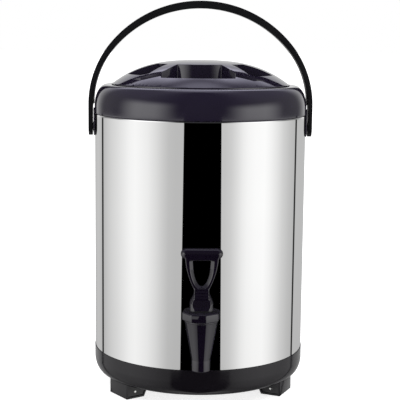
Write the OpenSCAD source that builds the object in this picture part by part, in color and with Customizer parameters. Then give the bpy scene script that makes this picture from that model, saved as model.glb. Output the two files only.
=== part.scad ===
// Insulated beverage dispenser: double-walled barrel, screw lid, carrying bail and lever tap

/* [Barrel] */
// Outside diameter of the steel shell
shell_d = 250; // [220:1:290]
// Height of the shell between the base ring and the collar
shell_h = 279; // [220:1:340]
// Thickness of the shell sheet
shell_wall = 0.6; // [0.4:0.1:1.5]
// Thickness of the insulation between the shell and the liner
foam_t = 21; // [16:0.5:24]
// Thickness of the insulation under the liner
floor_foam_t = 24; // [16:1:34]
// Thickness of the liner sheet
liner_wall = 0.6; // [0.4:0.1:1.5]
// Radius of the corner between the liner's wall and floor
liner_corner_r = 12; // [6:1:20]

/* [Base] */
// Height of the base ring
base_h = 31; // [26:1:44]
// How far the base ring stands out from the shell
base_lip = 1.4; // [1:0.1:3]
// How far the base ring's lower edge turns in
base_turn_w = 10.4; // [6:0.2:14]
// Height over which the base ring's lower edge turns in
base_turn_h = 18; // [10:1:22]
// Wall thickness of the base ring
base_wall = 3; // [2:0.1:4]
// Radial width of the base ring's bottom flange
base_flange_w = 32; // [28:1:40]
// Depth of shell held inside the base ring
base_hold = 12; // [8:1:14]
// Thickness of the base plate
base_plate_t = 1.2; // [0.8:0.1:3]
// Number of screws that hold the base plate
base_screw_n = 3; // [3:1:6]
// Diameter of the base screws
base_screw_d = 4; // [3:0.5:5]

/* [Feet] */
// Height of the feet
foot_h = 18; // [14:1:28]
// Width of a foot along the rim
foot_w = 37; // [30:1:46]
// Length of a foot at the floor
foot_len = 24; // [18:1:28]
// Length added at the top of a foot on its inner end
foot_top_extra = 6; // [3:1:9]
// How far the feet stand back from the base ring's lower edge
foot_back = 1.5; // [0.5:0.1:3]
// Turn of the three feet about the barrel
foot_clock = 4.6; // [-15:0.2:15]
// Border around the sunk panel on a foot's sides
foot_border = 2.4; // [1.5:0.1:3.5]
// Depth of the sunk panel
foot_panel_depth = 1; // [0.5:0.1:2]
// Diameter of the foot rivets
rivet_d = 2.4; // [2:0.1:4]
// Diameter of the rivet heads
rivet_head_d = 3.6; // [3.2:0.1:6]
// Height of the rivet heads
rivet_head_h = 0.6; // [0.4:0.1:1]
// Height of the rivets above the floor
rivet_up = 7.6; // [6:0.1:11]

/* [Collar and neck] */
// Height of the collar above the shell
collar_h = 32.6; // [26:0.1:40]
// How far the collar stands out from the shell
collar_lip = 0.5; // [0.3:0.1:1.2]
// Width of the collar's rounded shoulder
collar_round_w = 14; // [10:0.5:18]
// Height of the collar's rounded shoulder
collar_round_h = 26; // [16:0.5:26]
// Width of the flat on top of the collar
collar_flat_w = 6.1; // [2:0.1:8]
// Wall thickness of the collar
collar_wall = 2.6; // [2:0.1:4]
// Depth of collar held inside the shell
collar_hold = 10; // [6:1:11]
// Depth of the recess that the lid sits in
lid_seat_depth = 5; // [3:0.2:7]
// Width of the ears
ear_w = 22; // [18:1:28]
// Thickness of the ears
ear_t = 1.4; // [1:0.1:2]
// Height of the neck ring
neck_h = 12; // [11:0.2:14]
// Wall thickness of the neck ring
neck_wall = 2.6; // [2:0.1:3.4]
// Width of the liner's top flange
liner_flange_w = 6; // [4:0.5:9]
// Thickness of the liner seal
liner_seal_t = 1.4; // [0.8:0.1:2]

/* [Lid] */
// Height of the lid's upright rim above the collar
lid_rim_h = 2.4; // [1:0.1:6]
// Height of the dome above its rim
dome_h = 28; // [24:0.5:38]
// Power of the dome's curve: higher is flatter on top and steeper at the rim
dome_power = 2.85; // [2:0.05:4]
// Wall thickness of the lid
lid_wall = 2.8; // [2:0.1:3.4]
// Turn of the finger pockets about the lid's axis when the lid is closed
pocket_turn = -3.2; // [-20:0.2:20]
// Radius of the finger pockets' outer edge
pocket_r = 90; // [80:1:94]
// Height of the pocket floors above the dome's rim
pocket_floor_h = 4.3; // [3.5:0.1:9]
// Radius of the hub that the pockets lie around
hub_r = 53.3; // [46:0.1:58]
// Width of the bar that joins the hub to the rim on each side
bar_w = 42; // [36:1:50]
// Angle of the side pockets' front edge from the front of the lid
spoke_turn = 43; // [38:1:48]
// Half width of the front and back pockets
pocket_front_w = 39.5; // [34:0.5:44]
// Inner radius of the curved grooves beside the front and back pockets
groove_r = 88.8; // [84:0.1:92]
// Width of the grooves
groove_w = 7.6; // [5:0.1:9]
// Width of the ridge between a groove and its side pocket
ridge_w = 3.3; // [2:0.1:5]
// Depth of the plug under the lid's seat
plug_h = 24; // [20:1:32]
// Width of the gasket
gasket_w = 6.8; // [5:0.2:9]
// Thickness of the gasket
gasket_t = 3.4; // [2:0.1:4]
// Number of thread starts
thread_n = 4; // [3:1:6]
// Height that the lid rises in one turn
thread_lead = 24; // [22:1:28]
// Height of the thread ribs
thread_h = 2; // [1.4:0.1:2.4]
// Angle that each thread rib wraps round
thread_wrap = 100; // [60:5:110]

/* [Bail] */
// Thickness of the bail at its crown
bail_crown_t = 8.7; // [6:0.1:11]
// Thickness of the bail at its sides
bail_side_t = 6; // [4.5:0.1:8]
// Width of the bail strap
bail_w = 21; // [18:0.5:26]
// Gap between the crown and the barrel when the bail lies at the side
bail_swing_gap = 14.5; // [10:0.5:40]
// How much flatter the crown is than a half circle, inside
crown_flat = 8; // [5:0.5:12]
// Angle of the crown arc on each side
crown_angle = 50; // [40:1:56]
// Height of the collar's lower edge above the pivots
pivot_drop = 16.4; // [15:0.2:24]
// Diameter of the pivot shoulder
pivot_d = 8; // [6:0.5:9]
// Diameter of the pivot screw heads
pivot_head_d = 12; // [11:0.5:14]
// Diameter of the pivot screw threads
pivot_thread_d = 5; // [4:0.5:5.5]

/* [Tap] */
// Height of the tap's inlet above the base ring
tap_up = 49; // [46:1:80]
// Distance from the shell to the spout's axis
tap_reach = 35; // [32:1:48]
// Diameter of the inlet shank
shank_d = 16; // [14:0.5:18]
// Diameter of the inlet bore
shank_bore_d = 10; // [7:0.5:11]
// Diameter of the flange that closes on the shell
shank_flange_d = 30; // [26:1:36]
// Diameter of the outlet
outlet_d = 20.6; // [17:0.2:22]
// Diameter of the outlet bore
outlet_bore_d = 15; // [12:0.2:16]
// Straight length of the outlet
outlet_len = 12.3; // [8:0.1:20]
// Height of the cone between the outlet and its top rim
cone_h = 40.3; // [34:0.1:46]
// Diameter at the top of the cone
cone_d = 37.3; // [35:0.1:40]
// Thickness of the cone's top rim
cone_rim_t = 4; // [3:0.1:6]
// Wall thickness of the cone
cone_wall = 2.8; // [2:0.1:3.2]
// Width of the bonnet across its corners
bonnet_d = 42.2; // [40:0.2:46]
// Height of the bonnet
bonnet_h = 9.4; // [8:0.2:14]
// Thickness of the bonnet's top
bonnet_top_t = 3.2; // [2.6:0.1:5]
// Diameter of the valve stem
stem_d = 8; // [6:0.2:9]
// Lift of the valve stem when the lever is pulled
stem_lift = 5; // [3:0.2:5.6]
// Forward tilt of the lever
lever_tilt = 40; // [30:1:45]
// Height of the lever's pin above the bonnet
pin_up = 5; // [4.5:0.1:6]
// Diameter of the lever's pin
pin_d = 4; // [3:0.1:4.6]
// Diameter of the lever's bell
bell_d = 25.8; // [25:0.2:30]
// Height of the lever's bell
bell_h = 22; // [19:0.5:26]
// Width of the lever's neck
lever_neck_w = 16.3; // [13:0.1:18]
// Thickness of the lever, front to back
lever_t = 9; // [7:0.1:11]
// Height of the finger loop
loop_h = 30; // [24:0.5:40]
// Width of the finger loop at its top
loop_w = 21.6; // [16:0.2:26]
// Width of the lever at the top of the loop
lever_top_w = 35; // [30:0.5:39]
// Length of the lever's cross bar
bar_len = 45.4; // [38:0.2:56]
// Diameter of the lever's cross bar
bar_d = 11.8; // [9:0.1:14]
// Number of ribs across the lever's neck
rib_n = 3; // [0:1:4]
// Wire diameter of the closing spring
wire_d = 1.2; // [0.8:0.1:1.5]
// Number of turns of the closing spring
spring_turns = 6; // [4:1:8]

/* [Fits] */
// Gap between fixed pieces that sit against each other
seat_gap = 0.2; // [0.1:0.05:0.3]
// Gap between pieces that move past each other
move_gap = 0.3; // [0.3:0.05:0.5]
// Radial clearance of pins and stems in their bores
run_gap = 0.05; // [0.02:0.01:0.1]
// Gap around the lid's rim
lid_gap = 0.8; // [0.5:0.1:1.5]
// Gap between the thread ribs and the wall they face
thread_gap = 0.8; // [0.6:0.1:1]

/* [Hidden] */
$fn = 96;
// Facets of a large round that trims a small piece
fine_fn = 720;

// Colours
black = "#1d1a23";
satin_black = "#26252a";
steel = "#c8c8c6";
bright_steel = "#d8d8d6";
rubber = "#e9e6df";
foam = "#efe3b8";

// Overlap that makes cuts and joins clean
eps = 0.5;
// Small bevel on moulded edges
edge_cut = 0.7;
arc_steps = 16;

// Heights of the barrel's stack, from the floor
shell_r = shell_d / 2;
base_z = foot_h;
shell_z = base_z + base_h;
collar_z = shell_z + shell_h;
collar_top = collar_z + collar_h;
seat_z = collar_top - lid_seat_depth;

// Base
base_r = shell_r + base_lip;
base_low_r = base_r - base_turn_w;
ledge_z = shell_z - base_hold;
ledge_w = 3;
flange_in_r = base_low_r - base_flange_w;
plate_r = shell_r - shell_wall - seat_gap;
plate_z = ledge_z + seat_gap;
plate_top = plate_z + base_plate_t;
boss_wall = 3;
boss_d = base_screw_d + 2 * boss_wall;
boss_r = flange_in_r + boss_d / 2 + 2;
screw_head_d = base_screw_d + 3.5;
screw_head_h = 2.5;
screw_sink = 1;

// Feet
foot_out_r = base_low_r - foot_back;
foot_side_t = 8;
foot_end_t = 4.5;
foot_floor_t = 3;
lug_w = foot_w - 2 * foot_side_t;
lug_len = foot_len - 2 * foot_end_t;
lug_drop = foot_h - foot_floor_t;
lug_r = foot_out_r - foot_len / 2;
foot_angles = [-60 + foot_clock, 60 + foot_clock, 180 + foot_clock];

// Lid and neck radii, from the collar inwards
collar_r = shell_r + collar_lip;
recess_r = collar_r - collar_round_w - collar_flat_w;
lid_r = recess_r - lid_gap;
lid_in_r = lid_r - lid_wall;
gasket_gap = 0.5;
gasket_r = lid_in_r - gasket_gap;
plug_r = gasket_r - gasket_w - move_gap;
neck_bore_r = plug_r + thread_h + thread_gap;
neck_r = neck_bore_r + neck_wall;
skirt_r = neck_r + seat_gap;

// Liner and neck heights
liner_r = shell_r - shell_wall - foam_t - liner_wall;
liner_out_r = liner_r + liner_wall;
liner_floor_z = plate_top + floor_foam_t + liner_wall;
neck_z = seat_z - neck_h;
neck_flange_t = 2.6;
neck_flange_r = max(liner_out_r + liner_flange_w, skirt_r + collar_wall);
liner_top = neck_z - liner_seal_t - 2 * seat_gap;
liner_flange_r = liner_out_r + liner_flange_w;

// Lid heights
lid_low = seat_z + lid_gap;
rim_top = collar_top + lid_rim_h;
lid_top = rim_top + dome_h;
gasket_z = seat_z + move_gap;
plug_flange_z = gasket_z + gasket_t + move_gap;
plug_flange_t = 2.4;
plug_flange_r = min(lid_in_r - seat_gap, dome_in_r(plug_flange_z + plug_flange_t + move_gap));
plug_z = seat_z - plug_h;
plug_wall = 2.4;
pocket_z = rim_top + pocket_floor_h;
groove_x = 31.7;
groove_y = 19.8;
thread_pitch = thread_lead / thread_n;
thread_base_share = 0.46;
thread_tip_share = 0.28;
thread_end_gap = 0.6;
thread_root = 0.6;
thread_base_w = thread_pitch * thread_base_share;
thread_tip_w = thread_pitch * thread_tip_share;
thread_rise = thread_lead * thread_wrap / 360;
neck_thread_z = seat_z - thread_rise - thread_base_w / 2 - thread_end_gap;
plug_thread_z = neck_thread_z - thread_pitch / 2;

// Bail
pivot_z = collar_z - pivot_drop;
ear_r = shell_r + seat_gap + ear_t;
ear_boss_t = 0.4;
ear_boss_x = ear_r + ear_boss_t;
ear_top_z = collar_z + 6;
bail_in = collar_r + 3 * move_gap;
bail_out = bail_in + bail_side_t;
bail_end_in = ear_boss_x + 3 * move_gap;
bail_reach = shell_r + bail_swing_gap;
crown_in_z = pivot_z + bail_reach;
crown_out_z = crown_in_z + bail_crown_t;
crown_out_flat = crown_flat - 2;
pivot_head_t = 1.8;
pivot_head_sink = 0.2;
pivot_head_x = bail_out - pivot_head_sink - pivot_head_t;
pivot_slot_w = 1.2;
pivot_slot_depth = 1;
pivot_tip = 4;
nut_plate_w = 18;
nut_plate_h = 2 * (pivot_drop - collar_hold) - 1;
nut_plate_t = 2.4;
nut_pocket_gap = 1;
nut_plate_x = sqrt(pow(plate_r, 2) - pow(nut_plate_w / 2, 2)) - seat_gap;

// Tap heights and places
tap_z = shell_z + tap_up;
tap_y = -(shell_r + tap_reach);
cone_rim_z = tap_z + 15;
cone_low_z = cone_rim_z - cone_h;
outlet_z = cone_low_z - outlet_len;
cone_top = cone_rim_z + cone_rim_t;
bonnet_z = cone_top + move_gap;
bonnet_top = bonnet_z + bonnet_h;
bonnet_in_z = bonnet_top - bonnet_top_t;
bonnet_gasket_t = 1.2;
throat_r = outlet_bore_d / 2 - 1;
seat_lip_z = tap_z - 11;
chamber_r = cone_d / 2 - cone_wall - 2.4;
chamber_low_r = cone_r(seat_lip_z) - cone_wall - 0.6;
tap_neck_r = chamber_r + cone_wall;
washer_t = 2.5;
washer_d = shank_flange_d;
flange_y = -(shell_r + washer_t + 2 * seat_gap);
flange_t = 3.5;
nut_t = 7;
nut_d = shank_d + 15;
inner_washer_y = -sqrt(pow(liner_r, 2) - pow(washer_d / 2, 2)) + washer_t;
shank_end_y = inner_washer_y + nut_t + 3;
sleeve_d = shank_d + 5;

// Valve
cup_r = throat_r + 2;
cup_h = 5;
cup_z = seat_lip_z + move_gap;
collar_disc_z = tap_z - 0.5;
collar_disc_t = 1.5;
spring_r = stem_d / 2 + 3.2;
spring_z = collar_disc_z + collar_disc_t + wire_d / 2 + seat_gap;
spring_len = bonnet_in_z - spring_z - wire_d / 2 - seat_gap;
pin_z = bonnet_top + pin_up;
stem_top = pin_z + stem_d / 2;
cam_k = stem_lift / (lever_tilt * PI / 180);

// Lever
bell_z = bonnet_top + move_gap;
bell_top = bonnet_top + bell_h;
loop_z = bell_top + 3.5;
loop_top = loop_z + loop_h;
bar_z = loop_top + 1 + bar_d / 2;

// Shift that puts the middle of the whole object's plan over the origin
axis_y = (shell_r + tap_reach + bonnet_d / 2 - base_r) / 2;

// Outside radius of the tap's cone at a height
function cone_r(z) = outlet_d / 2 + (cone_d - outlet_d) / 2 * (z - cone_low_z) / cone_h;

// Height of the lid's dome at a radius, for a dome of the given rim radius and top
function dome_z(r, rim, top) = top - dome_h * pow(r / rim, dome_power);

// Radius at which the inside of the lid's dome has a height
function dome_in_r(z) = lid_in_r * pow((lid_top - lid_wall - z) / dome_h, 1 / dome_power);

// Points of a quarter ellipse about a centre, from one angle to another
function arc_points(centre, rx, rz, from, to) = [
    for (i = [0:arc_steps])
        let (a = from + (to - from) * i / arc_steps)
        [centre[0] + rx * cos(a), centre[1] + rz * sin(a)]
];

module in_frame() {
    translate([0, axis_y, 0]) children();
}

module ring(r_out, r_in, z, h) {
    translate([0, 0, z]) difference() {
        cylinder(r = r_out, h = h);
        translate([0, 0, -eps]) cylinder(r = r_in, h = h + 2 * eps);
    }
}

// Rod along Y between two places, on the tap's inlet axis
module inlet_rod(d, y0, y1) {
    translate([0, y0, tap_z]) rotate([-90, 0, 0]) cylinder(d = d, h = y1 - y0);
}

// Rod along X on the bail's pivot axis
module pivot_rod(d, x0, x1) {
    translate([x0, 0, pivot_z]) rotate([0, 90, 0]) cylinder(d = d, h = x1 - x0);
}

module both_sides() {
    children();
    mirror([1, 0, 0]) children();
}

// Rod along X on the lever's pin axis, centred
module pin_rod(d, len) {
    translate([-len / 2, tap_y, pin_z]) rotate([0, 90, 0]) cylinder(d = d, h = len);
}

// Solid skin through rings of points, closed at both ends
module skin(rings) {
    n = len(rings[0]);
    m = len(rings);
    points = [for (r = rings) for (p = r) p];
    sides = [
        for (j = [0:m - 2]) for (i = [0:n - 1])
            let (k = (i + 1) % n)
            each [
                [j * n + i, (j + 1) * n + k, j * n + k],
                [j * n + i, (j + 1) * n + i, (j + 1) * n + k]
            ]
    ];
    first = [for (i = [1:n - 2]) [0, i, i + 1]];
    last = [for (i = [1:n - 2]) [(m - 1) * n, (m - 1) * n + i + 1, (m - 1) * n + i]];
    polyhedron(points = points, faces = concat(sides, first, last));
}

// Thread ribs on a wall of radius r: they stand out for dir 1 and in for dir -1
module thread_ribs(r, z, dir) {
    steps = ceil(thread_wrap / 5);
    root = r - dir * thread_root;
    tip = r + dir * thread_h;
    section = [
        [root, dir * thread_base_w / 2], [tip, dir * thread_tip_w / 2],
        [tip, -dir * thread_tip_w / 2], [root, -dir * thread_base_w / 2]
    ];
    rings = [
        for (j = [0:steps])
            let (a = thread_wrap * j / steps, rise = thread_rise * j / steps)
            [for (p = section) [p[0] * cos(a), p[0] * sin(a), z + rise + p[1]]]
    ];
    for (i = [0:thread_n - 1])
        rotate(360 / thread_n * i) skin(rings);
}

module outer_shell() {
    color(bright_steel) in_frame() difference() {
        ring(shell_r, shell_r - shell_wall, plate_z, collar_z - plate_z);
        inlet_rod(shank_d + 2 * seat_gap, -shell_r - eps, 0);
        both_sides() pivot_rod(pivot_thread_d + 4 * seat_gap, 0, shell_r + eps);
    }
}

module inner_liner() {
    inner = concat(
        [[0, liner_floor_z]],
        arc_points([liner_r - liner_corner_r, liner_floor_z + liner_corner_r],
                   liner_corner_r, liner_corner_r, -90, 0),
        [[liner_r, liner_top]]
    );
    outer_corner = liner_corner_r + liner_wall;
    outer = concat(
        [[liner_flange_r, liner_top], [liner_flange_r, liner_top - liner_wall]],
        [[liner_out_r, liner_top - liner_wall]],
        arc_points([liner_out_r - outer_corner, liner_floor_z + liner_corner_r],
                   outer_corner, outer_corner, 0, -90),
        [[0, liner_floor_z - liner_wall]]
    );
    color(steel) in_frame() difference() {
        rotate_extrude() polygon(concat(inner, outer));
        inlet_rod(shank_d + 2 * seat_gap, -liner_out_r - eps, 0);
    }
}

module insulation_foam() {
    low = plate_top + seat_gap;
    hold_z = collar_z - collar_hold - seat_gap;
    hold_r = plate_r - collar_wall - seat_gap;
    high = liner_top - liner_wall - seat_gap;
    in_r = liner_out_r + seat_gap;
    corner = liner_corner_r + liner_wall + seat_gap;
    floor_z = liner_floor_z - liner_wall - seat_gap;
    outline = concat(
        [[0, low], [plate_r, low], [plate_r, hold_z], [hold_r, hold_z], [hold_r, high], [in_r, high]],
        arc_points([in_r - corner, floor_z + corner], corner, corner, 0, -90),
        [[0, floor_z]]
    );
    pocket_x = nut_plate_x - nut_plate_t - pivot_tip - 2 * nut_pocket_gap;
    pocket_w = nut_plate_w + 2 * nut_pocket_gap;
    pocket_h = nut_plate_h + 2 * nut_pocket_gap;
    color(foam) in_frame() difference() {
        rotate_extrude() polygon(outline);
        inlet_rod(sleeve_d + 2 * seat_gap, -shell_r, 0);
        both_sides()
            translate([pocket_x, -pocket_w / 2, pivot_z - pocket_h / 2])
                cube([shell_r - pocket_x, pocket_w, pocket_h]);
    }
}

// Boss of the base ring under each base screw
module at_base_screws() {
    for (i = [0:base_screw_n - 1])
        rotate(foot_clock - 90 + 360 / base_screw_n * i) translate([boss_r, 0, 0]) children();
}

// Places a foot's own frame, in which +X points away from the barrel's axis
module at_foot(angle) {
    rotate(angle - 90) children();
}

module foot_lug(grow) {
    translate([lug_r - lug_len / 2 - grow, -lug_w / 2 - grow, foot_h - lug_drop - grow])
        cube([lug_len + 2 * grow, lug_w + 2 * grow, lug_drop + grow + eps]);
}

module rivet_hole(d, len) {
    translate([lug_r, len / 2, rivet_up]) rotate([90, 0, 0]) cylinder(d = d, h = len);
}

module base_ring() {
    lip_in_r = shell_r + seat_gap;
    ledge_in_r = lip_in_r - shell_wall - ledge_w;
    turn = [base_low_r, base_z + base_turn_h];
    outline = concat(
        [[flange_in_r, base_z]],
        arc_points(turn, base_turn_w, base_turn_h, -90, 0),
        [[base_r, shell_z - edge_cut], [base_r - edge_cut, shell_z], [lip_in_r, shell_z]],
        [[lip_in_r, ledge_z], [ledge_in_r, ledge_z], [ledge_in_r, ledge_z - ledge_w]],
        arc_points([turn[0] - 1, turn[1]], base_turn_w - base_wall, base_turn_h - base_wall, 0, -90),
        [[flange_in_r, base_z + base_wall]]
    );
    color(satin_black) in_frame() difference() {
        union() {
            rotate_extrude() polygon(outline);
            at_base_screws() translate([0, 0, base_z]) cylinder(d = boss_d, h = ledge_z - base_z);
            for (a = foot_angles) at_foot(a) foot_lug(0);
        }
        at_base_screws() {
            translate([0, 0, base_z - eps]) cylinder(d = base_screw_d + 2 * seat_gap, h = base_h);
            translate([0, 0, base_z - eps])
                cylinder(d = screw_head_d + 1, h = screw_head_h + screw_sink + eps);
        }
        for (a = foot_angles) at_foot(a) rivet_hole(rivet_d + 2 * run_gap, foot_w);
    }
}

module base_plate() {
    color(steel) in_frame() difference() {
        translate([0, 0, plate_z]) cylinder(r = plate_r, h = base_plate_t);
        at_base_screws() translate([0, 0, plate_z - eps])
            cylinder(d = base_screw_d + 2 * run_gap, h = base_plate_t + 2 * eps);
    }
}

module base_screws() {
    head_z = base_z + screw_sink;
    socket_depth = 1.2;
    color(bright_steel) in_frame() at_base_screws() {
        translate([0, 0, head_z]) difference() {
            cylinder(d = screw_head_d, h = screw_head_h);
            translate([0, 0, -eps]) cylinder(d = base_screw_d * 0.7, h = socket_depth + eps, $fn = 6);
        }
        translate([0, 0, head_z + screw_head_h - eps])
            cylinder(d = base_screw_d, h = plate_top - head_z - screw_head_h + eps);
    }
}

// Side outline of a foot, from its inner end outwards, drawn in by a border
module foot_outline(inset) {
    in_low = foot_out_r - foot_len;
    in_high = in_low - foot_top_extra;
    knee_z = foot_h * 0.7;
    polygon([
        [in_low + inset, inset], [foot_out_r - inset, inset],
        [foot_out_r - inset, foot_h - inset], [in_high + inset, foot_h - inset],
        [in_high + inset, knee_z]
    ]);
}

module foot(angle) {
    color(satin_black) in_frame() at_foot(angle) difference() {
        translate([0, foot_w / 2, 0]) rotate([90, 0, 0])
            linear_extrude(foot_w) foot_outline(0);
        for (side = [-1, 1])
            translate([0, side * (foot_w / 2 + eps) + (side > 0 ? 0 : foot_panel_depth + eps), 0])
                rotate([90, 0, 0]) linear_extrude(foot_panel_depth + eps) foot_outline(foot_border);
        foot_lug(seat_gap);
        rivet_hole(rivet_d + 2 * run_gap, foot_w + 2 * eps);
    }
}

module foot_left() {
    foot(foot_angles[0]);
}

module foot_right() {
    foot(foot_angles[1]);
}

module foot_rear() {
    foot(foot_angles[2]);
}

module foot_rivets() {
    face = foot_w / 2 - foot_panel_depth;
    color(bright_steel) in_frame() for (a = foot_angles) at_foot(a) {
        rivet_hole(rivet_d, 2 * face + 2 * eps);
        for (side = [-1, 1])
            translate([lug_r, side * face, rivet_up]) rotate([-90 * side, 0, 0])
                cylinder(d1 = rivet_head_d, d2 = rivet_head_d * 0.7, h = rivet_head_h);
    }
}

// Ear that hangs over the shell, with the flat boss of the bail's pivot
module ear() {
    low = pivot_z - ear_w / 2;
    intersection() {
        ring(ear_r, shell_r + seat_gap, low, ear_top_z - low);
        union() {
            translate([0, -ear_w / 2, pivot_z]) cube([ear_r + eps, ear_w, ear_top_z - pivot_z]);
            pivot_rod(ear_w, 0, ear_r + eps);
        }
    }
    difference() {
        pivot_rod(pivot_head_d, shell_r - eps, ear_boss_x);
        cylinder(r = shell_r + seat_gap, h = collar_top);
    }
}

module top_collar() {
    under = collar_wall;
    turn = [collar_r - collar_round_w, collar_top - collar_round_h];
    spigot_r = plate_r;
    outline = concat(
        [[spigot_r - collar_wall, collar_z - collar_hold], [spigot_r, collar_z - collar_hold]],
        [[spigot_r, collar_z + seat_gap], [collar_r, collar_z + seat_gap]],
        arc_points(turn, collar_round_w, collar_round_h, 0, 90),
        [[recess_r + edge_cut, collar_top], [recess_r, collar_top - edge_cut]],
        [[recess_r, seat_z], [skirt_r, seat_z], [skirt_r, neck_z + neck_flange_t + seat_gap]],
        [[skirt_r + under, neck_z + neck_flange_t + seat_gap], [skirt_r + under, seat_z - under]],
        [[recess_r + under, seat_z - under], [recess_r + under, collar_top - under]],
        arc_points(turn, collar_round_w - under, collar_round_h - under, 90, 0)
    );
    color(black) in_frame() difference() {
        union() {
            rotate_extrude() polygon(outline);
            both_sides() ear();
        }
        both_sides() pivot_rod(pivot_thread_d + 2 * seat_gap, shell_r - collar_wall, bail_out);
    }
}

module neck_ring() {
    color(black) in_frame() {
        ring(neck_r, neck_bore_r, neck_z, neck_h);
        ring(neck_flange_r, neck_bore_r, neck_z, neck_flange_t);
        thread_ribs(neck_bore_r, neck_thread_z, -1);
    }
}

module liner_seal() {
    color(rubber) in_frame()
        ring(liner_flange_r, liner_r + 0.5, liner_top + seat_gap, liner_seal_t);
}

module pivot_nut_plates() {
    color(steel) in_frame() both_sides() difference() {
        translate([nut_plate_x - nut_plate_t, -nut_plate_w / 2, pivot_z - nut_plate_h / 2])
            cube([nut_plate_t, nut_plate_w, nut_plate_h]);
        pivot_rod(pivot_thread_d + 2 * run_gap, 0, shell_r);
    }
}

module bail_pivot_screws() {
    tip_x = nut_plate_x - nut_plate_t - pivot_tip;
    color(steel) in_frame() both_sides() difference() {
        union() {
            pivot_rod(pivot_thread_d, tip_x, ear_boss_x + eps);
            pivot_rod(pivot_d, ear_boss_x, pivot_head_x + eps);
            pivot_rod(pivot_head_d, pivot_head_x, pivot_head_x + pivot_head_t);
        }
        translate([pivot_head_x + pivot_head_t - pivot_slot_depth, -pivot_head_d, pivot_z - pivot_slot_w / 2])
            cube([pivot_slot_depth + eps, 2 * pivot_head_d, pivot_slot_w]);
    }
}

// Right half of a three-centred arch in X and Z, from its crown down to the pivots' height
function half_arch(half_w, flat, crown_z) =
    let (
        crown_r = half_w + flat,
        side_r = (half_w - crown_r * sin(crown_angle)) / (1 - sin(crown_angle)),
        crown_c = crown_z - crown_r,
        side_x = (crown_r - side_r) * sin(crown_angle),
        side_z = crown_c + (crown_r - side_r) * cos(crown_angle),
        turn = 90 - crown_angle
    )
    concat(
        arc_points([0, crown_c], crown_r, crown_r, 90, turn),
        arc_points([side_x, side_z], side_r, side_r, turn * (1 - 1 / arc_steps), 0)
    );

// Points of a half that starts on the middle, after their mirror image in X
function with_mirror(half) = concat([for (i = [len(half) - 1:-1:1]) [-half[i][0], half[i][1]]], half);

// Strap between the inner and the outer arch, thinned at the pivots to pass the ears
module bail_outline() {
    low = pivot_z - bail_w;
    ramp_z = pivot_z + 24;
    ramp_h = 6 * (bail_end_in - bail_in);
    outer = concat(half_arch(bail_out, crown_out_flat, crown_out_z), [[bail_out, low]]);
    inner = concat(
        half_arch(bail_in, crown_flat, crown_in_z),
        [[bail_in, ramp_z + ramp_h], [bail_end_in, ramp_z], [bail_end_in, low]]
    );
    inside = with_mirror(inner);
    polygon(concat(with_mirror(outer), [for (i = [len(inside) - 1:-1:0]) inside[i]]));
}

module bail_handle() {
    color(black) in_frame() difference() {
        intersection() {
            translate([0, bail_w / 2, 0]) rotate([90, 0, 0]) linear_extrude(bail_w) bail_outline();
            union() {
                translate([-2 * shell_r, -bail_w, pivot_z]) cube([4 * shell_r, 2 * bail_w, 2 * bail_reach]);
                pivot_rod(bail_w, -2 * shell_r, 2 * shell_r);
            }
        }
        both_sides() {
            pivot_rod(pivot_d + 2 * run_gap, shell_r, bail_out + eps);
            pivot_rod(pivot_head_d + 2 * move_gap, pivot_head_x - move_gap, bail_out + eps);
        }
    }
}

// Half plane on the side of a line away from its normal, at a signed distance from the middle
module half_plane(angle, distance) {
    big = 4 * lid_r;
    rotate(angle) translate([distance - big, -big / 2]) square([big, big]);
}

// Curved groove that runs out of the dome to the right of the front pocket
module groove(grow) {
    difference() {
        intersection() {
            translate([groove_x, groove_y]) circle(r = groove_r + groove_w + grow);
            half_plane(180, groove_w - pocket_front_w);
            half_plane(90, -bar_w / 2);
        }
        translate([groove_x, groove_y]) circle(r = groove_r - grow);
    }
}

// Plan of the front pocket with its two grooves
module front_pocket(grow) {
    slant = 45;
    corner_y = groove_y - sqrt(pow(groove_r, 2) - pow(pocket_front_w - groove_x, 2));
    slant_d = pocket_front_w * cos(slant) + corner_y * sin(slant);
    difference() {
        intersection() {
            circle(r = pocket_r + grow);
            half_plane(90, 0);
            half_plane(0, pocket_front_w + grow);
            half_plane(180, pocket_front_w + grow);
            half_plane(slant, slant_d + grow);
            half_plane(180 - slant, slant_d + grow);
        }
        circle(r = hub_r - grow);
    }
    for (s = [0, 1]) mirror([s, 0]) groove(grow);
}

// Plan of the side pocket at the right of the front, between a spoke and the side bar
module side_pocket(grow) {
    difference() {
        intersection() {
            circle(r = pocket_r + grow);
            translate([groove_x, groove_y]) circle(r = groove_r - ridge_w + grow);
            half_plane(90, grow - bar_w / 2);
            half_plane(180 + spoke_turn, grow);
        }
        circle(r = hub_r - grow);
    }
}

module pockets(grow, z) {
    translate([0, 0, z]) rotate(pocket_turn) linear_extrude(2 * dome_h)
        for (a = [0, 180]) rotate(a) {
            front_pocket(grow);
            for (s = [0, 1]) mirror([s, 0]) side_pocket(grow);
        }
}

// Solid of the dome over a rim
module dome(rim, low, top) {
    curve = [for (i = [0:2 * arc_steps]) let (r = rim * i / (2 * arc_steps)) [r, dome_z(r, rim, top)]];
    rotate_extrude() polygon(concat([[0, low]], curve, [[rim, low]]));
}

module lid_cover() {
    color(black) in_frame() difference() {
        dome(lid_r, lid_low, lid_top);
        pockets(0, pocket_z);
        difference() {
            dome(lid_in_r, lid_low - eps, lid_top - lid_wall);
            pockets(lid_wall, pocket_z - lid_wall);
        }
    }
}

module lid_plug() {
    top = plug_flange_z + plug_flange_t;
    color(black) in_frame() {
        ring(plug_r, plug_r - plug_wall, plug_z, top - plug_z);
        ring(plug_flange_r, plug_r - plug_wall, plug_flange_z, plug_flange_t);
        translate([0, 0, plug_z]) cylinder(r = plug_r, h = plug_wall);
        thread_ribs(plug_r, plug_thread_z, 1);
    }
}

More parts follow.
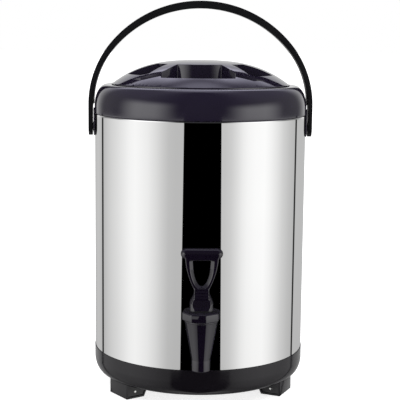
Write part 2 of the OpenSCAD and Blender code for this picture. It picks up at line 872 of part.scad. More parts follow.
module lid_insulation() {
    color(foam) in_frame() translate([0, 0, plug_z + plug_wall + seat_gap])
        cylinder(r = plug_r - plug_wall - seat_gap, h = plug_flange_z - plug_z - plug_wall);
}

module lid_gasket() {
    color(rubber) in_frame() ring(gasket_r, gasket_r - gasket_w, gasket_z, gasket_t);
}

module tap_body() {
    outside = [
        [0, outlet_z], [outlet_d / 2, outlet_z], [outlet_d / 2, cone_low_z], [cone_d / 2, cone_rim_z],
        [cone_d / 2, cone_top], [tap_neck_r, cone_top],
        [tap_neck_r, bonnet_in_z - bonnet_gasket_t - 2 * seat_gap],
        [0, bonnet_in_z - bonnet_gasket_t - 2 * seat_gap]
    ];
    inside = [
        [0, outlet_z - eps], [outlet_bore_d / 2, outlet_z - eps], [outlet_bore_d / 2, seat_lip_z - 3],
        [throat_r, seat_lip_z - 2], [throat_r, seat_lip_z], [chamber_low_r, seat_lip_z],
        [chamber_r, cone_rim_z - 3], [chamber_r, bonnet_top], [0, bonnet_top]
    ];
    color(black) in_frame() difference() {
        union() {
            translate([0, tap_y, 0]) rotate_extrude() polygon(outside);
            inlet_rod(shank_d, tap_y, shank_end_y);
            inlet_rod(shank_flange_d, flange_y - flange_t, flange_y);
        }
        translate([0, tap_y, 0]) rotate_extrude() polygon(inside);
        inlet_rod(shank_bore_d, tap_y, shank_end_y + eps);
    }
}

module tap_outer_washer() {
    color(rubber) in_frame() difference() {
        inlet_rod(washer_d, flange_y + seat_gap, -shell_r / 2);
        inlet_rod(shank_d + 2 * seat_gap, -2 * shell_r, 0);
        cylinder(r = shell_r + seat_gap, h = collar_top, $fn = fine_fn);
    }
}

module tap_inner_washer() {
    color(rubber) in_frame() difference() {
        intersection() {
            inlet_rod(washer_d, -shell_r, inner_washer_y);
            cylinder(r = liner_r - seat_gap, h = collar_top, $fn = fine_fn);
        }
        inlet_rod(shank_d + 2 * seat_gap, -2 * shell_r, 0);
    }
}

module tap_lock_nut() {
    y0 = inner_washer_y + seat_gap;
    color(black) in_frame() difference() {
        translate([0, y0, tap_z]) rotate([-90, 0, 0]) cylinder(d = nut_d, h = nut_t, $fn = 6);
        inlet_rod(shank_d + 2 * seat_gap, -2 * shell_r, 0);
    }
}

module tap_sleeve() {
    color(steel) in_frame() difference() {
        intersection() {
            inlet_rod(sleeve_d, -shell_r, -liner_r / 2);
            cylinder(r = plate_r, h = collar_top);
        }
        cylinder(r = liner_out_r + seat_gap, h = collar_top);
        inlet_rod(shank_d + 2 * seat_gap, -2 * shell_r, 0);
    }
}

// Octagon with its corners rounded off by a circle
module bonnet_plan() {
    turn = 14;
    intersection() {
        rotate(turn) circle(d = bonnet_d * 1.03, $fn = 8);
        circle(d = bonnet_d);
    }
}

module tap_bonnet() {
    edge = 1.6;
    grip_z = bonnet_z + 1;
    color(black) in_frame() translate([0, tap_y, 0]) difference() {
        intersection() {
            translate([0, 0, bonnet_z]) linear_extrude(bonnet_h) bonnet_plan();
            rotate_extrude() polygon(concat(
                [[0, bonnet_z], [bonnet_d / 2 - 1, bonnet_z], [bonnet_d / 2, grip_z]],
                arc_points([bonnet_d / 2 - edge, bonnet_top - edge], edge, edge, 0, 90),
                [[0, bonnet_top]]
            ));
        }
        translate([0, 0, bonnet_z - eps])
            cylinder(r = tap_neck_r + seat_gap, h = bonnet_in_z - bonnet_z + eps);
        cylinder(d = stem_d + 2 * run_gap, h = 2 * bonnet_top);
    }
}

module bonnet_gasket() {
    color(rubber) in_frame() translate([0, tap_y, 0])
        ring(tap_neck_r, chamber_r, bonnet_in_z - bonnet_gasket_t - seat_gap, bonnet_gasket_t);
}

module tap_stem() {
    low = cup_z + 1.5;
    color(bright_steel) in_frame() difference() {
        translate([0, tap_y, 0]) {
            translate([0, 0, low]) cylinder(d = stem_d, h = stem_top - low);
            translate([0, 0, collar_disc_z]) cylinder(r = spring_r + wire_d, h = collar_disc_t);
        }
        pin_rod(pin_d + 2 * run_gap, bell_d);
    }
}

module tap_seat_cup() {
    color(rubber) in_frame() translate([0, tap_y, 0]) difference() {
        translate([0, 0, cup_z]) cylinder(r1 = cup_r, r2 = stem_d / 2 + 1.6, h = cup_h);
        translate([0, 0, cup_z + 1.5 - run_gap]) cylinder(d = stem_d + 2 * run_gap, h = cup_h);
    }
}

// Closing spring, one wire wound about the stem
module tap_spring() {
    sides = 8;
    steps = 16 * spring_turns;
    rings = [
        for (j = [0:steps])
            let (a = 360 * spring_turns * j / steps, z = spring_z + spring_len * j / steps)
            [for (i = [0:sides - 1])
                let (b = -360 * i / sides, r = spring_r + wire_d / 2 * cos(b))
                [r * cos(a), r * sin(a), z + wire_d / 2 * sin(b)]]
    ];
    color(steel) in_frame() translate([0, tap_y, 0]) skin(rings);
}

module lever_pin() {
    color(bright_steel) in_frame() pin_rod(pin_d, bell_d - 5);
}

// Heel of the lever in Y and Z about its pin: flat behind, then a curve that lifts evenly as it rolls
module heel_outline() {
    low = pin_up - move_gap;
    roll = [
        for (i = [0:arc_steps])
            let (a = lever_tilt * i / arc_steps, h = low + cam_k * a * PI / 180)
            [-(h * sin(a) + cam_k * cos(a)), -h * cos(a) + cam_k * sin(a)]
    ];
    front = roll[arc_steps][0];
    polygon(concat([[bell_d, bell_h], [bell_d, -low]], roll, [[front - 2, bell_h]]));
}

// Room that the stem needs inside the lever over the whole tilt
module stem_room() {
    half = stem_d / 2 + 0.5;
    deep = pin_up + bell_d / 2;
    polygon([
        [half, 0], [half, -deep],
        [-deep * sin(lever_tilt) - half * cos(lever_tilt), -deep * cos(lever_tilt) + half * sin(lever_tilt)],
        [-half * cos(lever_tilt), half * sin(lever_tilt)]
    ]);
    circle(r = stem_d / 2 * sqrt(2) + 0.5);
}

// Draws a Y and Z outline about the lever's pin as a bar along X
module across_lever(width) {
    translate([-width / 2, tap_y, pin_z]) rotate([90, 0, 90]) linear_extrude(width) children();
}

// Half width of the loop's outside at a share of its height
function loop_half(t) = lever_neck_w / 2 + (lever_top_w - lever_neck_w) / 2 * sqrt(1 - pow(1 - t, 2));

module loop_outline() {
    n = 2 * arc_steps;
    low = loop_z - 2;
    tall = bar_z - low;
    side = [for (i = [0:n]) let (t = i / n) [loop_half(t), low + tall * t]];
    left = [for (i = [n:-1:0]) [-side[i][0], side[i][1]]];
    foot = [[-lever_neck_w / 2, bell_top - bell_h / 2], [lever_neck_w / 2, bell_top - bell_h / 2]];
    hole = arc_points([0, loop_top], loop_w / 2, loop_h, 180, 360);
    difference() {
        polygon(concat(foot, side, left));
        polygon(hole);
    }
}

module tap_lever() {
    side_z = bell_z + bell_h * 0.3;
    flare = [
        for (i = [0:arc_steps])
            let (t = i / arc_steps, w = lever_neck_w + (bell_d - lever_neck_w) * (1 + cos(180 * t)) / 2)
            [w / 2, side_z + (bell_top - side_z) * t]
    ];
    bell = concat([[0, bell_z - eps], [bell_d / 2, bell_z - eps]], flare, [[0, bell_top]]);
    rib_h = 1.6;
    rib_step = 3.2;
    color(black) in_frame() difference() {
        union() {
            intersection() {
                translate([0, tap_y, 0]) rotate_extrude() polygon(bell);
                across_lever(2 * bell_d) heel_outline();
            }
            translate([0, tap_y + lever_t / 2, 0]) rotate([90, 0, 0]) linear_extrude(lever_t) loop_outline();
            for (i = [0:1:rib_n - 1])
                translate([2 - lever_neck_w / 2, tap_y - lever_t / 2 - 0.5, bell_top + 2 - rib_step * (i + 1)])
                    cube([lever_neck_w - 4, 1, rib_h]);
            translate([-(bar_len - bar_d) / 2, tap_y, bar_z]) {
                rotate([0, 90, 0]) cylinder(d = bar_d, h = bar_len - bar_d);
                sphere(d = bar_d);
                translate([bar_len - bar_d, 0, 0]) sphere(d = bar_d);
            }
        }
        across_lever(stem_d + 2 * move_gap) stem_room();
        pin_rod(pin_d + 2 * run_gap, bell_d + 2 * eps);
    }
}

outer_shell();
inner_liner();
insulation_foam();
base_ring();
base_plate();
base_screws();
foot_left();
foot_right();
foot_rear();
foot_rivets();
top_collar();
neck_ring();
liner_seal();
pivot_nut_plates();
bail_pivot_screws();
bail_handle();
lid_cover();
lid_plug();
lid_insulation();
lid_gasket();
tap_body();
tap_outer_washer();
tap_inner_washer();
tap_lock_nut();
tap_sleeve();
tap_bonnet();
bonnet_gasket();
tap_stem();
tap_seat_cup();
tap_spring();
lever_pin();
tap_lever();
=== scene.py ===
"""Looks of an insulated beverage dispenser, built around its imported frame."""

import math
from contextlib import contextmanager

import bmesh
import bpy
from bpy.props import FloatProperty, FloatVectorProperty, IntProperty, PointerProperty
from mathutils import Matrix, Vector


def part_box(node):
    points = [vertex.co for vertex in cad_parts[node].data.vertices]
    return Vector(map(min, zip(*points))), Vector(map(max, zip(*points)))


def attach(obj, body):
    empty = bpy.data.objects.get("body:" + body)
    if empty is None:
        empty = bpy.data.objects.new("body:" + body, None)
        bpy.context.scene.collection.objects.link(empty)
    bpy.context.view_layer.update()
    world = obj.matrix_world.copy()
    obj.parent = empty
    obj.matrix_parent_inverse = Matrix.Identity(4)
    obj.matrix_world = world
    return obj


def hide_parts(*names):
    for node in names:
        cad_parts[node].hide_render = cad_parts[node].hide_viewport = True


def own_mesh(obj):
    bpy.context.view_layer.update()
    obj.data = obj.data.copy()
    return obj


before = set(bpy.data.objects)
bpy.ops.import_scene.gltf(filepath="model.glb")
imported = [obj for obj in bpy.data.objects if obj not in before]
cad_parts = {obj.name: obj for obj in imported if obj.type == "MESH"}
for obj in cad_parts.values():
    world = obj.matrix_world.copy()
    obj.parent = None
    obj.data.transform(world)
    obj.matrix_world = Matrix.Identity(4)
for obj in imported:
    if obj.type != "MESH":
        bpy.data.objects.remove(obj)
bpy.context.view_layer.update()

bl_info = {
    "name": "Insulated Beverage Dispenser",
    "version": (1, 0, 0),
    "blender": (4, 5, 0),
    "location": "View3D > Sidebar > Dispenser",
    "description": "Models the visible pieces of an insulated beverage dispenser and its stage",
    "category": "Object",
}

MM = 0.001
TURN = 2 * math.pi
QUARTER = math.pi / 2


def middle(node, axis):
    """Middle of a node's box along one axis."""
    start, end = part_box(node)
    return (start[axis] + end[axis]) / 2


def low(node, axis):
    """Low side of a node's box along one axis."""
    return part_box(node)[0][axis]


def high(node, axis):
    """High side of a node's box along one axis."""
    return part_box(node)[1][axis]


AXIS_Y = middle("outer_shell", 1)
TAP_Y = middle("tap_bonnet", 1)
PIVOT_Z = middle("bail_pivot_screws", 2)
PIN_Z = middle("lever_pin", 2)
INLET_Z = middle("tap_lock_nut", 2)
BARREL = Vector((0, AXIS_Y, 0))
TAP = Vector((0, TAP_Y, 0))


def length(name, default, description):
    """A length that a user may change."""
    return FloatProperty(name=name, description=description, default=default, unit="LENGTH", precision=4)


def bearing(name, degrees, description):
    """An angle that a user may change, written in degrees."""
    return FloatProperty(name=name, description=description, default=math.radians(degrees),
                         subtype="ANGLE")


def tint(name, default, description):
    """A colour that a user may change."""
    return FloatVectorProperty(name=name, description=description, default=default, subtype="COLOR",
                               size=3, min=0, max=1)


class BarrelSizes(bpy.types.PropertyGroup):
    """Sizes of the shell, collar and base."""
    shell_r: length("Shell radius", high("outer_shell", 0), "Outside radius of the steel shell")
    shell_top: length("Shell top", high("outer_shell", 2), "Height of the shell's upper edge")
    shell_low: length("Shell bottom", low("outer_shell", 2), "Height of the shell's lower edge")
    sheet: length("Sheet", 0.6 * MM, "Thickness of the shell sheet")
    edge_curl: length("Edge curl", 1.5 * MM, "Radius of the shell's drawn upper edge")
    seam_depth: length("Seam depth", 0.12 * MM, "Depth of the welded seam at the back")
    collar_r: length("Collar radius", 125.5 * MM, "Outside radius of the collar")
    collar_top: length("Collar top", high("top_collar", 2) + 1.4 * MM, "Height of the collar")
    shoulder_w: length("Shoulder width", 14 * MM, "Width of the collar's rounded shoulder")
    shoulder_h: length("Shoulder height", 26 * MM, "Height of the collar's rounded shoulder")
    recess_r: length("Recess radius", 105.4 * MM, "Radius of the recess that the lid sits in")
    seat_z: length("Seat height", high("top_collar", 2) - 5 * MM, "Height of the seat under the lid")
    ear_w: length("Ear width", 22 * MM, "Width of the ears over the bail's pivots")
    base_r: length("Base radius", high("base_ring", 0) - 0.8 * MM, "Outside radius of the base ring")
    base_low: length("Base bottom", 18 * MM, "Height of the base ring's lower face")
    base_top: length("Base top", high("base_ring", 2), "Height of the base ring's upper edge")
    base_turn_w: length("Base turn width", 10.4 * MM, "How far the base ring turns in below")
    base_turn_h: length("Base turn height", 18 * MM, "Height over which the base ring turns in")


class LidSizes(bpy.types.PropertyGroup):
    """Sizes of the lid."""
    rim_r: length("Rim radius", high("lid_cover", 0), "Outside radius of the lid")
    rim_low: length("Rim bottom", low("lid_cover", 2), "Height of the lid's lower edge")
    rim_top: length("Rim top", 363 * MM, "Height at which the dome starts")
    top: length("Top", high("lid_cover", 2), "Height of the dome's top")
    power: FloatProperty(name="Dome power", description="How flat the dome is on top", default=2.85)
    turn: bearing("Turn", -3.2, "Turn of the pockets about the lid's axis")
    wall: length("Wall", 2.8 * MM, "Thickness of the lid")
    floor_z: length("Pocket floor", 367.3 * MM, "Height of the finger pockets' floors")
    pocket_r: length("Pocket radius", 90 * MM, "Radius of the pockets' outer edge")
    hub_r: length("Hub radius", 53.3 * MM, "Radius of the hub that the pockets lie around")
    bar_w: length("Bar width", 42 * MM, "Width of the bar from the hub to each side")
    spoke: bearing("Spoke", 43, "Angle of the side pockets' edge from the front")
    front_w: length("Front pocket", 41.8 * MM, "Half width of the front and back pockets")
    flank: bearing("Flank", 38.5, "Direction that the front pocket's slanted walls face away from")
    groove_x: length("Groove side", 31.7 * MM, "Distance of the grooves' centre to the side")
    groove_y: length("Groove back", 19.8 * MM, "Distance of the grooves' centre to the back")
    groove_r: length("Groove radius", 88.8 * MM, "Inner radius of the grooves by the front and back pockets")
    groove_w: length("Groove width", 7.6 * MM, "Width of the grooves")
    ridge_w: length("Ridge width", 5 * MM, "Width of the ridge between a groove and a side pocket")
    edge: length("Edge radius", 1.3 * MM, "Rounding of the pockets' upper edges")


class BailSizes(bpy.types.PropertyGroup):
    """Sizes of the carrying bail."""
    width: length("Width", 21 * MM, "Width of the strap")
    inner: length("Inner half width", 126.4 * MM, "Half width between the arms")
    outer: length("Outer half width", high("bail_handle", 0), "Half width over the arms")
    end_inner: length("Inner half width at the ends", 127.9 * MM, "Half width between the thinned ends")
    crown: length("Crown", high("bail_handle", 2), "Height of the crown's upper face")
    crown_t: length("Crown thickness", 8.7 * MM, "Thickness of the crown")
    edge: length("Edge radius", 1.8 * MM, "Rounding of the strap's edges")


class TapSizes(bpy.types.PropertyGroup):
    """Sizes of the tap."""
    outlet_r: length("Outlet radius", 10.3 * MM, "Outside radius of the outlet")
    outlet_bore: length("Outlet bore", 7.5 * MM, "Radius of the outlet's bore")
    outlet_low: length("Outlet end", low("tap_body", 2), "Height of the outlet's end")
    cone_low: length("Cone bottom", 72.7 * MM, "Height at which the cone starts")
    cone_r: length("Cone radius", 18.65 * MM, "Radius of the cone's rim")
    rim_low: length("Rim bottom", 113 * MM, "Height of the cone's rim")
    bonnet_low: length("Bonnet bottom", low("tap_bonnet", 2), "Height of the bonnet's lower face")
    bonnet_top: length("Bonnet top", high("tap_bonnet", 2), "Height of the bonnet's upper face")
    bonnet_r: length("Bonnet radius", 21.1 * MM, "Radius over the bonnet's rounded corners")
    bell_r: length("Bell radius", 12.9 * MM, "Radius of the lever's bell")
    bar_len: length("Bar length", 45.4 * MM, "Length of the lever's cross bar")
    bar_r: length("Bar radius", 5.9 * MM, "Radius of the lever's cross bar")
    bar_z: length("Bar height", 189.1 * MM, "Height of the cross bar's middle")


class FinishColours(bpy.types.PropertyGroup):
    """Colours of the finishes."""
    steel: tint("Polished steel", (0.90, 0.90, 0.895), "Reflected colour of the polished shell")
    gloss: tint("Gloss black", (0.0116, 0.0088, 0.0192), "Gloss moulded plastic of the lid and collar")
    tap: tint("Tap black", (0.0051, 0.0033, 0.0083), "Gloss moulded plastic of the tap")
    satin: tint("Satin black", (0.0065, 0.0054, 0.0075), "Satin moulded plastic")
    bail: tint("Bail black", (0.006, 0.006, 0.0075), "Plastic of the bail")
    hardware: tint("Hardware", (0.72, 0.72, 0.70), "Bright screws, rivets and pins")
    liner: tint("Liner", (0.66, 0.66, 0.65), "Plain steel of the liner and base plate")
    silicone: tint("Silicone", (0.72, 0.70, 0.66), "Seals and cup")
    washer: tint("Washer", (0.02, 0.02, 0.02), "Rubber washers")
    foam: tint("Foam", (0.80, 0.68, 0.40), "Insulation")


class StageLook(bpy.types.PropertyGroup):
    """Light and view of the stage."""
    lens: FloatProperty(name="Lens", description="Focal length", default=103.69, unit="CAMERA")
    view_side: bearing("View side", -1.15, "Turn of the camera about the barrel")
    view_pitch: bearing("View pitch", 8.433, "How far the camera looks down")
    view_roll: bearing("View roll", 0.579, "Tilt of the camera about its own axis")
    distance: length("Distance", 1.3719, "Distance from the barrel's axis to the camera")
    height: length("Camera height", 0.4269, "Height of the camera")
    flag: bearing("Flag half angle", 18.9, "Half width of the dark flag at eye level")
    flag_foot: bearing("Flag foot", 10, "Half width that the flag gains at its foot")
    flag_turn: bearing("Flag turn", 2.7, "Turn of the flag to the camera's right")
    floor: tint("Floor", (0.93, 0.93, 0.93), "Pale floor")
    steps: IntProperty(name="Round steps", description="Steps in a turn of large round pieces", default=256)


# Selection and edit mode


def deselect():
    """Leaves edit mode with nothing selected."""
    if bpy.context.mode != "OBJECT":
        bpy.ops.object.mode_set(mode="OBJECT")
    bpy.ops.object.select_all(action="DESELECT")


def take(obj):
    """Selects one object alone and makes it active."""
    deselect()
    obj.select_set(True)
    bpy.context.view_layer.objects.active = obj
    return obj


@contextmanager
def editing(obj, kind="VERT"):
    """Edit mode on one object with everything selected."""
    take(obj)
    bpy.ops.object.mode_set(mode="EDIT")
    bpy.ops.mesh.select_mode(type=kind)
    bpy.ops.mesh.select_all(action="SELECT")
    yield
    bpy.ops.object.mode_set(mode="OBJECT")


def pick(kind, test):
    """Selects in edit mode the verts, edges or faces for which the test holds."""
    obj = bpy.context.edit_object
    bpy.ops.mesh.select_mode(type={"verts": "VERT", "edges": "EDGE", "faces": "FACE"}[kind])
    bpy.ops.mesh.select_all(action="DESELECT")
    mesh = bmesh.from_edit_mesh(obj.data)
    mesh.normal_update()
    found = [e for e in getattr(mesh, kind) if test(e)]
    for element in found:
        element.select_set(True)
    mesh.select_flush_mode()
    bmesh.update_edit_mesh(obj.data)
    return len(found)


def bend_of(edge):
    """Angle between an edge's two faces."""
    return edge.calc_face_angle(0)


def upright(edge):
    """Whether an edge runs along Z."""
    span = edge.verts[1].co - edge.verts[0].co
    return abs(span.z) > 0.99 * span.length


def at_height(edge, z, slack=1e-5):
    """Whether both ends of an edge are at a height."""
    return all(abs(v.co.z - z) < slack for v in edge.verts)


# Starts, joins and finishes


def settle(obj, name):
    """Names an object and puts its place into its mesh."""
    take(obj)
    bpy.ops.object.transform_apply(location=True, rotation=True, scale=True)
    obj.name = name
    obj.data.name = name
    return obj


def loop(name, points, closed=True):
    """A wire through points, drawn out from a primitive circle."""
    deselect()
    bpy.ops.mesh.primitive_circle_add(vertices=len(points), radius=1)
    obj = settle(bpy.context.active_object, name)
    for vertex, point in zip(obj.data.vertices, points):
        vertex.co = point
    if not closed:
        ends = {0, len(points) - 1}
        with editing(obj, "EDGE"):
            pick("edges", lambda e: {v.index for v in e.verts} == ends)
            bpy.ops.mesh.delete(type="EDGE")
    return obj


def weld(obj):
    """Merges doubles and turns the faces outwards."""
    with editing(obj):
        bpy.ops.mesh.remove_doubles(threshold=1e-6)
        bpy.ops.mesh.normals_make_consistent(inside=False)


def lathe(name, outline, centre=(0, 0, 0), steps=96, closed=True, axis="Z"):
    """Spins an outline of radius and height points about an axis through a centre."""
    obj = loop(name, [(p[0], 0, p[1]) for p in outline], closed)
    with editing(obj):
        bpy.ops.mesh.spin(steps=steps, angle=TURN, center=(0, 0, 0), axis=(0, 0, 1))
    weld(obj)
    turn = {"Z": Matrix.Identity(4), "X": Matrix.Rotation(QUARTER, 4, "Y"),
            "Y": Matrix.Rotation(-QUARTER, 4, "X")}[axis]
    obj.data.transform(Matrix.Translation(centre) @ turn)
    return obj


def rod(name, radius, start, end, steps=64):
    """A plain round rod between two points, used as a start or a cutter."""
    span = Vector(end) - Vector(start)
    deselect()
    bpy.ops.mesh.primitive_cylinder_add(vertices=steps, radius=radius, depth=span.length,
                                        location=(Vector(start) + Vector(end)) / 2,
                                        rotation=span.to_track_quat("Z", "Y").to_euler())
    return settle(bpy.context.active_object, name)


def block(name, lo, hi):
    """A plain box between two corners, used as a start or a cutter."""
    lo, hi = Vector(lo), Vector(hi)
    deselect()
    bpy.ops.mesh.primitive_cube_add(size=1, location=(lo + hi) / 2, scale=hi - lo)
    return settle(bpy.context.active_object, name)


def plate(name, points, thickness):
    """A flat outline filled and drawn out along a vector."""
    obj = loop(name, points)
    with editing(obj):
        bpy.ops.mesh.edge_face_add()
        bpy.ops.mesh.extrude_region_move(TRANSFORM_OT_translate={"value": thickness})
    weld(obj)
    return obj


def apply_modifier(obj, kind, **settings):
    """Adds a modifier and applies it."""
    take(obj)
    modifier = obj.modifiers.new(kind.title(), kind)
    for key, value in settings.items():
        setattr(modifier, key, value)
    bpy.ops.object.modifier_apply(modifier=modifier.name)


def carve(obj, tool, operation="DIFFERENCE"):
    """Cuts, joins or meets an object with a tool, which is then removed."""
    apply_modifier(obj, "BOOLEAN", object=tool, operation=operation, solver="EXACT")
    bpy.data.objects.remove(tool)
    return obj


def bevel(width, segments=3, profile=0.5):
    """Bevels the edges selected in edit mode."""
    bpy.ops.mesh.bevel(offset=width, segments=segments, profile=profile, affect="EDGES", clamp_overlap=True)


def bisect(point, normal, clear=True):
    """Cuts the whole mesh by a plane; with clear, the side that the normal points to goes."""
    bpy.ops.mesh.select_all(action="SELECT")
    bpy.ops.mesh.bisect(plane_co=point, plane_no=normal, use_fill=clear, clear_outer=clear)


def smooth(obj, angle=40):
    """Smooth shading with creases at sharp angles."""
    take(obj)
    bpy.ops.object.shade_smooth_by_angle(angle=math.radians(angle), keep_sharp_edges=True)


def merged(name, objects):
    """Joins objects of one piece into one mesh."""
    deselect()
    for obj in objects:
        obj.select_set(True)
    bpy.context.view_layer.objects.active = objects[0]
    bpy.ops.object.join()
    return settle(bpy.context.active_object, name)


def copied(obj, name, matrix):
    """A copy with its own mesh, moved by a matrix."""
    twin = obj.copy()
    twin.data = obj.data.copy()
    bpy.context.scene.collection.objects.link(twin)
    twin.data.transform(matrix)
    twin.name = name
    if matrix.determinant() < 0:
        weld(twin)
    return twin


def place(obj, body, slot, finish, *nodes):
    """Gives a piece its finish and body, and hides the solids it stands for; its slot is not used."""
    obj.data.materials.clear()
    obj.data.materials.append(bpy.data.materials[finish])
    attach(obj, body)
    if nodes:
        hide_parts(*nodes)


# Outlines


def arc(centre, rx, rz, start, end, count=12):
    """Points of an elliptical arc, angles in degrees."""
    return [(centre[0] + rx * math.cos(math.radians(start + (end - start) * i / count)),
             centre[1] + rz * math.sin(math.radians(start + (end - start) * i / count)))
            for i in range(count + 1)]


def rounded(corners, count=5):
    """A closed outline whose corners (x, z, radius) are rounded."""
    points = []
    for i, (x, z, radius) in enumerate(corners):
        here = Vector((x, z))
        back = Vector(corners[i - 1][:2]) - here
        ahead = Vector(corners[(i + 1) % len(corners)][:2]) - here
        if radius <= 0 or back.length < 1e-7 or ahead.length < 1e-7:
            points.append((x, z))
            continue
        half = back.angle(ahead) / 2
        reach = min(radius / math.tan(half), 0.49 * back.length, 0.49 * ahead.length)
        start = here + back.normalized() * reach
        end = here + ahead.normalized() * reach
        for j in range(count + 1):
            t = j / count
            a, b = start.lerp(here, t), here.lerp(end, t)
            points.append(tuple(a.lerp(b, t)))
    return points


def plain(points):
    """Outline points as corners that stay sharp."""
    return [(x, z, 0) for x, z in points]


# Finishes


def node_group(name, inputs, outputs):
    """An empty shader node group with named sockets."""
    group = bpy.data.node_groups.new(name, "ShaderNodeTree")
    for socket, kind, default in inputs:
        made = group.interface.new_socket(socket, in_out="INPUT", socket_type=kind)
        made.default_value = default
    for socket, kind in outputs:
        group.interface.new_socket(socket, in_out="OUTPUT", socket_type=kind)
    return group, group.nodes.new("NodeGroupInput"), group.nodes.new("NodeGroupOutput")


def add(tree, kind, links=None, **settings):
    """Adds a node, sets its values and links its inputs."""
    node = tree.nodes.new(kind)
    for key, value in settings.items():
        if key.startswith("in_"):
            node.inputs[key[3:].replace("_", " ")].default_value = value
        else:
            setattr(node, key, value)
    for socket, source in (links or {}).items():
        tree.links.new(source, node.inputs[socket])
    return node


def span_map(tree, value, lo, hi, source=(0.3, 0.7)):
    """Maps a noise value to a range."""
    node = add(tree, "ShaderNodeMapRange", {"Value": value})
    node.inputs["From Min"].default_value, node.inputs["From Max"].default_value = source
    for socket, number in (("To Min", lo), ("To Max", hi)):
        if hasattr(number, "node"):
            tree.links.new(number, node.inputs[socket])
        else:
            node.inputs[socket].default_value = number
    return node.outputs["Result"]


def moulded_grain():
    """Fine grain and slow mottling of moulded plastic."""
    group, given, made = node_group(
        "moulded_grain",
        [("Colour", "NodeSocketColor", (0.02, 0.02, 0.02, 1)), ("Mottle", "NodeSocketFloat", 0.2),
         ("Roughness Low", "NodeSocketFloat", 0.1), ("Roughness High", "NodeSocketFloat", 0.2),
         ("Grain Scale", "NodeSocketFloat", 900.0)],
        [("Colour", "NodeSocketColor"), ("Roughness", "NodeSocketFloat"), ("Height", "NodeSocketFloat")])
    place_in = add(group, "ShaderNodeTexCoord").outputs["Object"]
    slow = add(group, "ShaderNodeTexNoise", {"Vector": place_in}, in_Scale=18.0, in_Detail=3.0)
    grain = add(group, "ShaderNodeTexNoise", {"Vector": place_in, "Scale": given.outputs["Grain Scale"]},
                in_Detail=2.0)
    patch = add(group, "ShaderNodeTexNoise", {"Vector": place_in}, in_Scale=55.0, in_Detail=4.0)
    shade = span_map(group, slow.outputs["Fac"], 1.0, 1.35)
    lit = add(group, "ShaderNodeVectorMath", {0: given.outputs["Colour"]}, operation="SCALE")
    group.links.new(shade, lit.inputs["Scale"])
    mix = add(group, "ShaderNodeMix", {"Factor": given.outputs["Mottle"]}, data_type="RGBA")
    group.links.new(given.outputs["Colour"], mix.inputs["A"])
    group.links.new(lit.outputs[0], mix.inputs["B"])
    group.links.new(mix.outputs["Result"], made.inputs["Colour"])
    group.links.new(span_map(group, patch.outputs["Fac"], given.outputs["Roughness Low"],
                             given.outputs["Roughness High"]), made.inputs["Roughness"])
    group.links.new(grain.outputs["Fac"], made.inputs["Height"])
    return group


def drawn_sheet():
    """Lines of polishing or drawing around an upright axis, with faint cloudiness."""
    group, given, made = node_group(
        "drawn_sheet",
        [("Colour", "NodeSocketColor", (0.9, 0.9, 0.9, 1)), ("Roughness Low", "NodeSocketFloat", 0.03),
         ("Roughness High", "NodeSocketFloat", 0.07), ("Line Scale", "NodeSocketFloat", 1400.0),
         ("Along", "NodeSocketFloat", 6.0)],
        [("Colour", "NodeSocketColor"), ("Roughness", "NodeSocketFloat"), ("Height", "NodeSocketFloat")])
    place_in = add(group, "ShaderNodeTexCoord").outputs["Object"]
    stretch = add(group, "ShaderNodeCombineXYZ", {"X": given.outputs["Along"], "Y": given.outputs["Along"],
                                                  "Z": given.outputs["Line Scale"]})
    scaled = add(group, "ShaderNodeVectorMath", {0: place_in, 1: stretch.outputs[0]}, operation="MULTIPLY")
    lines = add(group, "ShaderNodeTexNoise", {"Vector": scaled.outputs[0]}, in_Scale=1.0, in_Detail=2.0)
    cloud = add(group, "ShaderNodeTexNoise", {"Vector": place_in}, in_Scale=14.0, in_Detail=4.0)
    level = add(group, "ShaderNodeMath", {0: lines.outputs["Fac"], 1: cloud.outputs["Fac"]},
                operation="MULTIPLY")
    shade = span_map(group, cloud.outputs["Fac"], 0.985, 1.0)
    lit = add(group, "ShaderNodeVectorMath", {0: given.outputs["Colour"]}, operation="SCALE")
    group.links.new(shade, lit.inputs["Scale"])
    group.links.new(lit.outputs[0], made.inputs["Colour"])
    group.links.new(span_map(group, level.outputs[0], given.outputs["Roughness Low"],
                             given.outputs["Roughness High"], (0.15, 0.4)), made.inputs["Roughness"])
    group.links.new(lines.outputs["Fac"], made.inputs["Height"])
    return group


def finish(name, group, colour, bump, bump_depth, metallic=0.0, ior=1.5, **values):
    """A material that takes its colour, roughness and relief from a shared group."""
    material = bpy.data.materials.new(name)
    material.use_nodes = True
    tree = material.node_tree
    shader = tree.nodes["Principled BSDF"]
    source = tree.nodes.new("ShaderNodeGroup")
    source.node_tree = bpy.data.node_groups[group]
    source.inputs["Colour"].default_value = (*colour, 1)
    for key, value in values.items():
        source.inputs[key.replace("_", " ").title()].default_value = value
    tree.links.new(source.outputs["Colour"], shader.inputs["Base Color"])
    tree.links.new(source.outputs["Roughness"], shader.inputs["Roughness"])
    relief = add(tree, "ShaderNodeBump", {"Height": source.outputs["Height"]}, in_Strength=bump,
                 in_Distance=bump_depth)
    tree.links.new(relief.outputs["Normal"], shader.inputs["Normal"])
    shader.inputs["Metallic"].default_value = metallic
    shader.inputs["IOR"].default_value = ior
    material.diffuse_color = (*colour, 1)
    return material


CAD_FINISHES = {
    "drawn_liner": ("inner_liner", "base_plate"),
    "bright_hardware": ("base_screws", "pivot_nut_plates", "tap_stem", "tap_spring", "lever_pin",
                        "tap_sleeve"),
    "inner_moulding": ("neck_ring", "lid_plug", "tap_lock_nut"),
    "seal_silicone": ("liner_seal", "lid_gasket", "bonnet_gasket", "tap_seat_cup"),
    "washer_rubber": ("tap_outer_washer", "tap_inner_washer"),
    "pour_foam": ("insulation_foam", "lid_insulation"),
}
# Like the outside of the tap, these smaller pieces of it stay out of the shell's reflections
TAP_INSIDE = ("tap_stem", "tap_seat_cup", "lever_pin", "bonnet_gasket", "tap_outer_washer")


